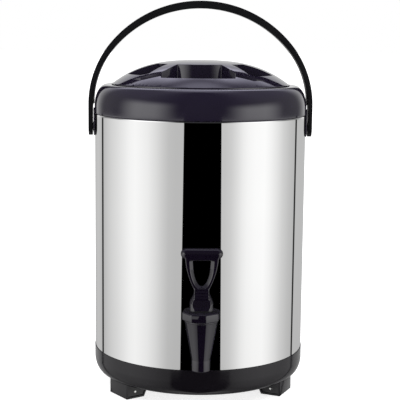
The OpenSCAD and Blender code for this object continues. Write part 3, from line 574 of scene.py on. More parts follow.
class DISPENSER_OT_finishes(bpy.types.Operator):
    """Makes the finishes and puts them on the solids that stay"""
    bl_idname = "dispenser.finishes"
    bl_label = "Finishes"

    # Colour, strength and depth of the relief, lowest and highest roughness, line scale across and along
    steels = {
        "mirror_sheet": ("steel", 0.015, 0.000004, 0.006, 0.018, 1400.0, 6.0),
        "drawn_liner": ("liner", 0.15, 0.00001, 0.22, 0.36, 2200.0, 9.0),
        "bright_hardware": ("hardware", 0.1, 0.00001, 0.16, 0.3, 5000.0, 500.0),
    }
    # Colour, strength and depth of the relief, mottle, refraction, lowest and highest roughness, grain scale
    mouldings = {
        "gloss_moulding": ("gloss", 0.02, 0.00002, 0.5, 1.8, 0.06, 0.11, 1500.0),
        "tap_moulding": ("tap", 0.02, 0.00002, 0.5, 1.8, 0.04, 0.08, 1500.0),
        "satin_moulding": ("satin", 0.04, 0.00002, 0.6, 1.45, 0.1, 0.17, 1100.0),
        "bail_moulding": ("bail", 0.08, 0.00002, 0.6, 1.4, 0.3, 0.42, 1100.0),
        "inner_moulding": ("satin", 0.05, 0.00002, 0.5, 1.5, 0.25, 0.35, 900.0),
        "seal_silicone": ("silicone", 0.1, 0.00002, 0.3, 1.5, 0.5, 0.65, 700.0),
        "washer_rubber": ("washer", 0.15, 0.00002, 0.6, 1.5, 0.55, 0.7, 700.0),
        "pour_foam": ("foam", 0.6, 0.0006, 0.6, 1.5, 0.8, 0.95, 420.0),
    }

    def execute(self, context):
        colours = context.scene.dispenser_colours
        moulded_grain()
        drawn_sheet()
        for name, (colour, bump, depth, least, most, lines, along) in self.steels.items():
            finish(name, "drawn_sheet", getattr(colours, colour), bump, depth, 1.0, roughness_low=least,
                   roughness_high=most, line_scale=lines, along=along)
        for name, (colour, bump, depth, mottle, ior, least, most, grain) in self.mouldings.items():
            finish(name, "moulded_grain", getattr(colours, colour), bump, depth, ior=ior, mottle=mottle,
                   roughness_low=least, roughness_high=most, grain_scale=grain)
        for name, nodes in CAD_FINISHES.items():
            for node in nodes:
                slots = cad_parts[node].data.materials
                slots.clear()
                slots.append(bpy.data.materials[name])
        for node in TAP_INSIDE:
            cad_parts[node].visible_glossy = False
        return {"FINISHED"}


# Barrel


class DISPENSER_OT_shell(bpy.types.Operator):
    """Spins the polished shell with its drawn edge, cuts its holes and draws in its seam"""
    bl_idname = "dispenser.shell"
    bl_label = "Shell"

    def execute(self, context):
        s, steps = context.scene.dispenser_barrel, context.scene.dispenser_stage.steps
        tap_hole, tap_band, pivot_hole, pivot_band = 8.2 * MM, 14 * MM, 2.9 * MM, 8 * MM
        inner, curl = s.shell_r - s.sheet, s.edge_curl
        # Rings beside the holes and under the curl keep the shading of the long faces even
        bands = [INLET_Z - tap_band, INLET_Z + tap_band, PIVOT_Z - pivot_band, PIVOT_Z + pivot_band]
        crease = s.shell_top - curl - 0.4 * MM
        outside = [(s.shell_r, z) for z in [s.shell_low, s.base_top, *bands, crease]]
        edge = arc((s.shell_r - curl, s.shell_top - curl), curl, curl, 0, 66, 8)
        inside = [(inner - curl * 0.6, s.shell_top), (inner, s.shell_top - 2 * curl)]
        inside += [(inner, z) for z in reversed(bands)] + [(inner, s.shell_low)]
        shell = lathe("shell_skin", outside + edge + inside, BARREL, steps)
        with editing(shell):
            pick("verts", lambda v: abs(v.co.x) < 0.2 * MM and v.co.y > AXIS_Y)
            bpy.ops.transform.translate(value=(0, -s.seam_depth, 0))
        reach = s.shell_r + 20 * MM
        carve(shell, rod("cut", tap_hole, (0, AXIS_Y - reach, INLET_Z), (0, AXIS_Y, INLET_Z)))
        carve(shell, rod("cut", pivot_hole, (-reach, AXIS_Y, PIVOT_Z), (reach, AXIS_Y, PIVOT_Z)))
        smooth(shell, 35)
        place(shell, "barrel", "polished_steel", "mirror_sheet", "outer_shell")
        return {"FINISHED"}


class DISPENSER_OT_collar(bpy.types.Operator):
    """Spins the collar and joins the two ears that the bail hangs on"""
    bl_idname = "dispenser.collar"
    bl_label = "Collar"

    def outline(self, s):
        """Section of the collar, from its spigot in the shell over the shoulder to the lid's seat."""
        wall, spigot, spigot_h = 2.6 * MM, s.shell_r - 0.8 * MM, 10 * MM
        low_z, skirt, skirt_h = s.shell_top + 0.2 * MM, 99.8 * MM, 9.2 * MM
        centre = (s.collar_r - s.shoulder_w, s.collar_top - s.shoulder_h)
        shoulder = arc(centre, s.shoulder_w, s.shoulder_h, 2, 88, 28)
        under = arc(centre, s.shoulder_w - wall, s.shoulder_h - wall, 88, 2, 20)
        return rounded([
            (spigot - wall, low_z - spigot_h, 0.3 * MM), (spigot, low_z - spigot_h, 0.5 * MM),
            (spigot, low_z, 0), (s.collar_r, low_z, 0.5 * MM), (s.collar_r, low_z + 1.5 * MM, 0),
            *plain(shoulder), (s.recess_r, s.collar_top, 0.9 * MM), (s.recess_r, s.seat_z, 0.5 * MM),
            (skirt, s.seat_z, 0.5 * MM), (skirt, s.seat_z - skirt_h, 0.3 * MM),
            (skirt + wall, s.seat_z - skirt_h, 0.3 * MM), (skirt + wall, s.seat_z - wall, 0.8 * MM),
            (s.recess_r + wall, s.seat_z - wall, 0.8 * MM), (s.recess_r + wall, s.collar_top - wall, 0),
            *plain(under)])

    def ear(self, s, side):
        """Tab under a pivot screw, bent round the shell, with a round boss beside the bail's end."""
        radius, start, thick = s.ear_w / 2, s.shell_r + 0.2 * MM, 1.4 * MM
        top, corner, strip = s.shell_top + 6 * MM, 2 * MM, 2 * MM
        boss_r, boss_top_r, boss_side, boss_h = 6 * MM, 5.7 * MM, 1.5 * MM, 1.8 * MM
        outline = [(0, y, z) for y, z in arc((0, PIVOT_Z), radius, radius, 180, 360, 24)]
        outline += [(0, radius, top - corner), (0, radius - corner, top), (0, corner - radius, top),
                    (0, -radius, top - corner)]
        tab = plate("ear", outline, (thick, 0, 0))
        with editing(tab):
            pick("edges", lambda e: bend_of(e) > 1 and all(v.co.x > thick / 2 for v in e.verts))
            bevel(0.6 * MM, 3)
            for i in range(-5, 6):
                bisect((0, i * strip, 0), (0, 1, 0), clear=False)
        for vertex in tab.data.vertices:
            x, y, z = vertex.co
            angle = y / start
            vertex.co = ((start + x) * math.cos(angle), (start + x) * math.sin(angle), z)
        boss = lathe("boss", [(0, start), (boss_r, start), (boss_r, start + boss_side),
                              (boss_top_r, start + boss_h), (0, start + boss_h)],
                     (0, 0, PIVOT_Z), 48, False, "X")
        carve(tab, boss, "UNION")
        turn = Matrix.Translation(BARREL) @ Matrix.Rotation(0 if side > 0 else math.pi, 4, "Z")
        tab.data.transform(turn)
        return tab

    def execute(self, context):
        s, steps = context.scene.dispenser_barrel, context.scene.dispenser_stage.steps
        collar = lathe("collar_ring", self.outline(s), BARREL, steps)
        for side in (-1, 1):
            carve(collar, self.ear(s, side), "UNION")
        reach = s.shell_r + 20 * MM
        pivot_hole = 2.7 * MM
        carve(collar, rod("cut", pivot_hole, (-reach, AXIS_Y, PIVOT_Z), (reach, AXIS_Y, PIVOT_Z)))
        smooth(collar, 35)
        place(collar, "barrel", "gloss_black", "gloss_moulding", "top_collar")
        return {"FINISHED"}


class DISPENSER_OT_base(bpy.types.Operator):
    """Spins the base ring with its lower bead and adds the screw bosses"""
    bl_idname = "dispenser.base"
    bl_label = "Base ring"

    def execute(self, context):
        s, steps = context.scene.dispenser_barrel, context.scene.dispenser_stage.steps
        wall, flange_in, lip = 3 * MM, 84 * MM, s.shell_r + 0.2 * MM
        ledge_z, ledge_in = s.base_top - 12 * MM, lip - 3.6 * MM
        centre = (s.base_r - s.base_turn_w, s.base_low + s.base_turn_h)
        turn = arc(centre, s.base_turn_w, s.base_turn_h, -82, -2, 24)
        under = arc((centre[0] - 1 * MM, centre[1]), s.base_turn_w - wall, s.base_turn_h - wall, -2, -88,
                    16)
        bead = [(centre[0] - 1.2 * MM, s.base_low, 0.4 * MM), (centre[0] + 1.6 * MM, s.base_low, 0.7 * MM)]
        ring = lathe("base_band", rounded([
            (flange_in, s.base_low, 0.6 * MM), *bead, *plain(turn),
            (s.base_r, s.base_top - 1.4 * MM, 0), (s.base_r, s.base_top, 0.9 * MM),
            (lip, s.base_top, 0.3 * MM), (lip, ledge_z, 0), (ledge_in, ledge_z, 0.3 * MM),
            (ledge_in, ledge_z - 3 * MM, 0), *plain(under),
            (flange_in, s.base_low + wall, 0.6 * MM)]), BARREL, steps)
        # Screw bosses: angle of the first in degrees, radius of their circle and their number
        first, circle, count = 4.6 - 90, 91 * MM, 3
        bore, boss_r, socket_r, room_r = 2.2 * MM, 5 * MM, 4.25 * MM, 4.6 * MM
        socket_z, mouth_z = s.base_low + 3.5 * MM, s.base_low - 0.02 * MM
        for i in range(count):
            angle = math.radians(first + 360 / count * i)
            spot = BARREL + Vector((math.cos(angle), math.sin(angle), 0)) * circle
            boss = lathe("boss", rounded([
                (bore, socket_z, 0), (socket_r, socket_z, 0), (socket_r, mouth_z, 0.2 * MM),
                (boss_r, mouth_z, 0.2 * MM), (boss_r, ledge_z, 0.4 * MM), (bore, ledge_z, 0.3 * MM)]),
                spot, 48)
            carve(ring, rod("cut", room_r, spot + Vector((0, 0, s.base_low - 2 * MM)),
                            spot + Vector((0, 0, ledge_z - 1 * MM))))
            carve(ring, boss, "UNION")
        smooth(ring, 35)
        place(ring, "barrel", "satin_black", "satin_moulding", "base_ring")
        return {"FINISHED"}


FOOT_ANGLES = {"left": -55.4, "right": 64.6, "rear": 184.6}
RIVET = Vector((102.5 * MM, 0, 7.6 * MM))


def at_foot(angle):
    """Frame of a foot, in which +X points away from the barrel's axis."""
    return Matrix.Translation(BARREL) @ Matrix.Rotation(math.radians(angle - 90), 4, "Z")


class DISPENSER_OT_feet(bpy.types.Operator):
    """Models one block foot with its sunk side panels and copies it round the base"""
    bl_idname = "dispenser.feet"
    bl_label = "Feet"

    def execute(self, context):
        s = context.scene.dispenser_barrel
        out, height, half = 114.5 * MM, s.base_low, 18.5 * MM
        inner, step, knee = out - 24 * MM, 6 * MM, 0.7 * s.base_low
        frame_w, sink, hole = 2.4 * MM, 1.0 * MM, 1.25 * MM
        hollow = (94.8 * MM, -10.7 * MM, 2.8 * MM), (110.2 * MM, 10.7 * MM, 20 * MM)
        outline = [(inner, 0), (out, 0), (out, height), (inner - step, height), (inner - step, knee)]
        foot = plate("foot", [(x, -half, z) for x, z in outline], (0, 2 * half, 0))
        with editing(foot):
            pick("faces", lambda f: abs(f.normal.y) > 0.9)
            bpy.ops.mesh.inset(thickness=frame_w, use_individual=True)
            bpy.ops.mesh.extrude_region_shrink_fatten(TRANSFORM_OT_shrink_fatten={"value": -sink})
            pick("edges", lambda e: bend_of(e) > 0.3)
            bevel(0.55 * MM, 3)
        across = Vector((0, half + MM, 0))
        carve(foot, rod("cut", hole, RIVET - across, RIVET + across, 32))
        carve(foot, block("cut", *hollow))
        smooth(foot, 35)
        for side, angle in FOOT_ANGLES.items():
            piece = copied(foot, f"foot_block_{side}", at_foot(angle))
            place(piece, "barrel", "satin_black", "satin_moulding", f"foot_{side}")
        bpy.data.objects.remove(foot)
        return {"FINISHED"}


class DISPENSER_OT_rivets(bpy.types.Operator):
    """Spins a domed rivet and copies it to the feet"""
    bl_idname = "dispenser.rivets"
    bl_label = "Foot rivets"

    def execute(self, context):
        face, head, shaft = 17.5 * MM, 1.8 * MM, 1.2 * MM
        dome = [(x, face + z) for x, z in arc((0, 0), head, 0.6 * MM, 0, 90, 8)]
        mirror = [(x, -z) for x, z in reversed(dome)]
        outline = mirror + [(shaft, -face), (shaft, face)] + dome
        rivet = lathe("rivet", outline, RIVET, 32, False, "Y")
        smooth(rivet, 40)
        copies = [copied(rivet, "rivet_copy", at_foot(a)) for a in FOOT_ANGLES.values()]
        bpy.data.objects.remove(rivet)
        piece = merged("foot_rivet_set", copies)
        place(piece, "barrel", "hardware_steel", "bright_hardware", "foot_rivets")
        return {"FINISHED"}


# Lid


def dome_height(s, r):
    """Height of the lid's dome at a radius."""
    return s.top - (s.top - s.rim_top) * (r / s.rim_r) ** s.power


class DISPENSER_OT_lid(bpy.types.Operator):
    """Cuts the finger pockets into a flat blank, rounds their edges and draws the blank into a dome"""
    bl_idname = "dispenser.lid"
    bl_label = "Lid"

    def pocket(self, s, planes):
        """A round cutter around the hub, trimmed by planes, each a point and a normal in plan."""
        tool = rod("pocket", s.pocket_r, (0, 0, s.floor_z), (0, 0, s.top + 10 * MM), 240)
        with editing(tool):
            for (x, y), angle in planes:
                bisect((x, y, 0), (math.cos(angle), math.sin(angle), 0))
        weld(tool)
        return carve(tool, rod("hub", s.hub_r, (0, 0, s.floor_z - 5 * MM), (0, 0, s.top + 20 * MM), 360))

    def soften(self, s, tool, corner):
        """Rounds a cutter's upright corners and its floor."""
        with editing(tool):
            pick("edges", lambda e: upright(e) and bend_of(e) > 0.25)
            bevel(corner, 4)
            pick("edges", lambda e: at_height(e, s.floor_z) and bend_of(e) > 0.5)
            bevel(2 * MM, 3)

    def groove(self, s, side):
        """A curved groove that runs out of the dome beside the front pocket."""
        low_z, high_z, outer = s.floor_z, s.top + 10 * MM, s.groove_r + s.groove_w
        tool = lathe("groove", [(s.groove_r, low_z), (outer, low_z), (outer, high_z), (s.groove_r, high_z)],
                     (side * s.groove_x, s.groove_y, 0), 360)
        with editing(tool):
            bisect((side * (s.front_w - s.groove_w), 0, 0), (-side, 0, 0))
            bisect((0, -s.bar_w / 2, 0), (0, 1, 0))
        weld(tool)
        return tool

    def front_pocket(self, s):
        """Cutter of the front pocket with its two grooves, kept inside the dome's foot."""
        dome_foot = 95 * MM
        corner_y = s.groove_y - math.sqrt(s.groove_r ** 2 - (s.front_w - s.groove_x) ** 2)
        tool = self.pocket(s, [((0, -s.bar_w / 2), QUARTER), ((s.front_w, 0), 0), ((-s.front_w, 0), math.pi),
                               ((s.front_w, corner_y), s.flank), ((-s.front_w, corner_y), math.pi - s.flank)])
        for side in (-1, 1):
            carve(tool, self.groove(s, side), "UNION")
        carve(tool, rod("keep", dome_foot, (0, 0, 0), (0, 0, 1), 240), "INTERSECT")
        self.soften(s, tool, 2.5 * MM)
        return tool

    def side_pocket(self, s):
        """Cutter of the right side pocket, between a spoke and the side bar."""
        outer_r, corner_r, corner_y = 87 * MM, 80 * MM, -40 * MM
        tool = self.pocket(s, [((0, -s.bar_w / 2), QUARTER), ((0, 0), math.pi + s.spoke)])
        centre = Vector((s.groove_x, s.groove_y, 0))
        keep = rod("keep", s.groove_r - s.ridge_w, centre, centre + Vector((0, 0, 1)), 360)
        carve(tool, keep, "INTERSECT")
        carve(tool, rod("keep", outer_r, (0, 0, 0), (0, 0, 1), 240), "INTERSECT")
        with editing(tool):
            pick("edges", lambda e: upright(e) and bend_of(e) > 0.25 and e.verts[0].co.y < corner_y
                 and e.verts[0].co.to_2d().length > corner_r)
            bevel(10 * MM, 8)
        self.soften(s, tool, 4 * MM)
        return tool

    def hollow(self, s):
        """Space under the lid for the plug and its flange."""
        inner, ceiling_r, start, ceiling = s.rim_r - s.wall, 93 * MM, s.rim_low - 5 * MM, s.floor_z - s.wall
        return lathe("hollow", [(0, start), (inner, start), (inner, s.rim_top - 2 * MM), (ceiling_r, ceiling),
                                (0, ceiling)], (0, 0, 0), 128, False)

    def draw_up(self, s, lid):
        """Cuts the blank into small faces and draws its flat top into the dome."""
        step, shallow, slack = 4 * MM, 1 * MM, 1e-6
        count = int(s.rim_r / step)
        with editing(lid):
            for i in range(-count, count + 1):
                for normal in ((1, 0, 0), (0, 1, 0)):
                    bisect(Vector(normal) * i * step, normal, clear=False)
        tall = s.top - s.floor_z
        for vertex in lid.data.vertices:
            if vertex.co.z > s.floor_z - slack:
                crest = dome_height(s, vertex.co.to_2d().length)
                # The grooves run out of the dome, so their floor stays a little under it
                in_groove = abs(vertex.co.x) > s.front_w
                floor = min(s.floor_z, crest - shallow) if in_groove else s.floor_z
                vertex.co.z = floor + (vertex.co.z - s.floor_z) * (crest - floor) / tall
        with editing(lid):
            pick("edges", lambda e: at_height(e, s.rim_top, 0.05 * MM) and bend_of(e) > 0.5)
            bevel(0.8 * MM, 3)

    def execute(self, context):
        s = context.scene.dispenser_lid
        front, side = self.front_pocket(s), self.side_pocket(s)
        half, flip = Matrix.Rotation(math.pi, 4, "Z"), Matrix.Scale(-1, 4, (1, 0, 0))
        tools = [front, copied(front, "back", half), side, copied(side, "side", flip)]
        tools += [copied(tool, "side", half) for tool in tools[2:]]
        lid = rod("lid_shell", s.rim_r, (0, 0, s.rim_low), (0, 0, s.top), 256)
        for tool in tools:
            carve(lid, tool)
        pockets_end = 100 * MM
        with editing(lid):
            pick("edges", lambda e: at_height(e, s.top) and bend_of(e) > 0.5
                 and max(v.co.to_2d().length for v in e.verts) < pockets_end)
            bevel(s.edge, 4)
        self.draw_up(s, lid)
        carve(lid, self.hollow(s))
        lid.data.transform(Matrix.Translation(BARREL) @ Matrix.Rotation(s.turn, 4, "Z"))
        smooth(lid, 50)
        place(lid, "lid", "gloss_black", "gloss_moulding", "lid_cover")
        return {"FINISHED"}


# Bail


def half_arch(half_w, flat, crown_z, count=40):
    """Right half of a three-centred arch, from its crown down to where its side is upright."""
    turn = math.radians(50)
    crown_r = half_w + flat
    side_r = (half_w - crown_r * math.sin(turn)) / (1 - math.sin(turn))
    crown_c = crown_z - crown_r
    side = ((crown_r - side_r) * math.sin(turn), crown_c + (crown_r - side_r) * math.cos(turn))
    return arc((0, crown_c), crown_r, crown_r, 90, 40, count) + arc(side, side_r, side_r, 40, 0, count)[1:]


def mirrored(half):
    """A half that starts on the middle, after its mirror image."""
    return [(-x, z) for x, z in reversed(half[1:])] + half


class DISPENSER_OT_bail(bpy.types.Operator):
    """Draws the arch of the bail, rounds its ends and edges and bores its pivots"""
    bl_idname = "dispenser.bail"
    bl_label = "Bail"

    def execute(self, context):
        s = context.scene.dispenser_bail
        low_z, ramp_z, ramp_h, half = PIVOT_Z - s.width, PIVOT_Z + 24 * MM, 9 * MM, s.width / 2
        outer_flat, inner_flat = 6 * MM, 8 * MM
        outer = half_arch(s.outer, outer_flat, s.crown) + [(s.outer, low_z)]
        inner = half_arch(s.inner, inner_flat, s.crown - s.crown_t)
        inner += [(s.inner, ramp_z + ramp_h), (s.end_inner, ramp_z), (s.end_inner, low_z)]
        outline = mirrored(outer) + list(reversed(mirrored(inner)))
        bail = plate("bail_strap", [(x, AXIS_Y - half, z) for x, z in outline], (0, s.width, 0))
        wide, shoulder_z, above = 2 * s.outer, PIVOT_Z + half / 8, 1
        rounding = arc((0, PIVOT_Z), half, half, 180, 360, 32)
        rounding += [(2 * half, shoulder_z), (2 * half, above), (-2 * half, above), (-2 * half, shoulder_z)]
        keep = plate("keep", [(-wide, AXIS_Y + y, z) for y, z in rounding], (2 * wide, 0, 0))
        carve(bail, keep, "INTERSECT")
        with editing(bail):
            bpy.ops.mesh.remove_doubles(threshold=1e-5)
            pick("edges", lambda e: bend_of(e) > 0.8)
            bevel(s.edge, 4)
        past = 140 * MM
        for side in (-1, 1):
            # The bore of the shoulder screw, then the sink of its head
            for radius, start in ((4.05 * MM, 120 * MM), (6.3 * MM, 130.1 * MM)):
                carve(bail, rod("cut", radius, (side * start, AXIS_Y, PIVOT_Z),
                                (side * past, AXIS_Y, PIVOT_Z)))
        smooth(bail, 35)
        place(bail, "bail", "satin_black", "bail_moulding", "bail_handle")
        return {"FINISHED"}


class DISPENSER_OT_pivots(bpy.types.Operator):
    """Spins a slotted shoulder screw and mirrors it to the other side"""
    bl_idname = "dispenser.pivots"
    bl_label = "Pivot screws"

    def execute(self, context):
        tip, thread, shoulder, head, top = 117.3 * MM, 117.8 * MM, 127 * MM, 130.4 * MM, 132.2 * MM
        tip_r, thread_r, shoulder_r, head_r, rim = 2 * MM, 2.5 * MM, 4 * MM, 6 * MM, 1.2 * MM
        slot_deep, slot_half, past = 0.9 * MM, 0.6 * MM, 10 * MM
        outline = [(0, tip), (tip_r, tip), (thread_r, thread), (thread_r, shoulder), (shoulder_r, shoulder),
                   (shoulder_r, head), (head_r, head)]
        outline += arc((head_r - rim, top - rim), rim, rim, 0, 90, 6) + [(0, top)]
        screw = lathe("screw", outline, (0, AXIS_Y, PIVOT_Z), 48, False, "X")
        carve(screw, block("slot", (top - slot_deep, AXIS_Y - past, PIVOT_Z - slot_half),
                           (top + 1 * MM, AXIS_Y + past, PIVOT_Z + slot_half)))
        smooth(screw, 35)
        other = copied(screw, "screw_copy", Matrix.Scale(-1, 4, (1, 0, 0)))
        smooth(other, 35)
        piece = merged("pivot_screw_pair", [screw, other])
        place(piece, "barrel", "hardware_steel", "bright_hardware", "bail_pivot_screws")
        return {"FINISHED"}


# Tap


class DISPENSER_OT_tap_body(bpy.types.Operator):
    """Spins the cone spout and the inlet shank and joins them"""
    bl_idname = "dispenser.tap_body"
    bl_label = "Tap body"

    def execute(self, context):
        s = context.scene.dispenser_tap
        neck, chamber, top = 16.25 * MM, 13.45 * MM, 121.9 * MM
        cone = lathe("tap_spout", rounded([
            (s.outlet_bore, s.outlet_low, 0.7 * MM), (s.outlet_r, s.outlet_low, 1.0 * MM),
            (s.outlet_r, s.cone_low, 2 * MM), (s.cone_r - 0.7 * MM, s.rim_low + 2.2 * MM, 0.3 * MM),
            (s.cone_r, s.rim_low + 2.8 * MM, 0.3 * MM), (s.cone_r, s.rim_low + 4 * MM, 0.5 * MM),
            (neck, s.rim_low + 4 * MM, 0.3 * MM), (neck, top, 0.3 * MM), (chamber, top, 0.3 * MM),
            (chamber, 110 * MM, 0), (9.86 * MM, 87 * MM, 0.3 * MM), (6.5 * MM, 87 * MM, 0.4 * MM),
            (6.5 * MM, 85 * MM, 0), (s.outlet_bore, 84 * MM, 0)]), TAP, 96)
        end, flange = -61.85 * MM - TAP_Y, -100.55 * MM - TAP_Y
        shank = lathe("shank", rounded([
            (5 * MM, 12 * MM, 0), (10.5 * MM, 12 * MM, 0), (10.5 * MM, 19 * MM, 1.5 * MM),
            (9 * MM, 21 * MM, 1 * MM), (9 * MM, flange - 4.5 * MM, 1 * MM),
            (15 * MM, flange - 3.5 * MM, 0.8 * MM), (15 * MM, flange, 0.3 * MM), (8 * MM, flange, 0.2 * MM),
            (8 * MM, end, 0.6 * MM), (5 * MM, end, 0.4 * MM)]), (0, TAP_Y, INLET_Z), 64, True, "Y")
        carve(cone, shank, "UNION")
        carve(cone, rod("bore", 5 * MM, (0, TAP_Y, INLET_Z), (0, TAP_Y + 20 * MM, INLET_Z)))
        smooth(cone, 35)
        place(cone, "barrel", "gloss_black", "tap_moulding", "tap_body")
        cone.visible_glossy = False
        return {"FINISHED"}


class DISPENSER_OT_bonnet(bpy.types.Operator):
    """Shapes the eight-sided cap nut of the tap"""
    bl_idname = "dispenser.bonnet"
    bl_label = "Bonnet"

    def execute(self, context):
        s = context.scene.dispenser_tap
        swell, turn = 1.015, math.radians(12.2)
        bore, stem_bore, ceiling, above = 16.45 * MM, 4.05 * MM, 123.5 * MM, 140 * MM
        deselect()
        bpy.ops.mesh.primitive_cylinder_add(vertices=8, radius=s.bonnet_r * swell,
                                            depth=s.bonnet_top - s.bonnet_low,
                                            location=(0, TAP_Y, (s.bonnet_low + s.bonnet_top) / 2),
                                            rotation=(0, 0, turn))
        nut = settle(bpy.context.active_object, "bonnet_nut")
        with editing(nut):
            pick("edges", upright)
            bevel(1.4 * MM, 4)
            pick("edges", lambda e: at_height(e, s.bonnet_top) and bend_of(e) > 0.8)
            bevel(1.8 * MM, 5)
            pick("edges", lambda e: at_height(e, s.bonnet_low) and bend_of(e) > 0.8)
            bevel(1.0 * MM, 3)
        below = s.bonnet_low - 5 * MM
        room = lathe("room", [(0, below), (bore, below), (bore, ceiling), (stem_bore, ceiling),
                              (stem_bore, above), (0, above)], TAP, 64, False)
        carve(nut, room)
        smooth(nut, 30)
        place(nut, "barrel", "gloss_black", "tap_moulding", "tap_bonnet")
        nut.visible_glossy = False
        return {"FINISHED"}


class DISPENSER_OT_spring(bpy.types.Operator):
    """Winds the spring of the tap"""
    bl_idname = "dispenser.spring"
    bl_label = "Tap spring"

    def execute(self, context):
        wire, radius, turns, lift = 0.6 * MM, 7.2 * MM, 6, 5.05 * MM
        low_z, high_z, steps = low("tap_spring", 2), high("tap_spring", 2), 32 * turns
        deselect()
        bpy.ops.mesh.primitive_circle_add(vertices=10, radius=wire, location=(radius, 0, 0),
                                          rotation=(QUARTER, 0, 0))
        spring = settle(bpy.context.active_object, "coil_spring")
        apply_modifier(spring, "SCREW", angle=TURN * turns, screw_offset=high_z - low_z - 2 * wire,
                       steps=steps, render_steps=steps)
        spring.data.transform(Matrix.Translation((0, TAP_Y, low_z + wire)))
        with editing(spring):
            bpy.ops.mesh.fill_holes(sides=0)
            bpy.ops.mesh.select_all(action="SELECT")
            bpy.ops.mesh.normals_make_consistent(inside=False)
        smooth(spring, 50)
        place(spring, "tap_valve", "hardware_steel", "bright_hardware", "tap_spring")
        spring.visible_glossy = False
        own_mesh(spring)
        return {"FINISHED"}


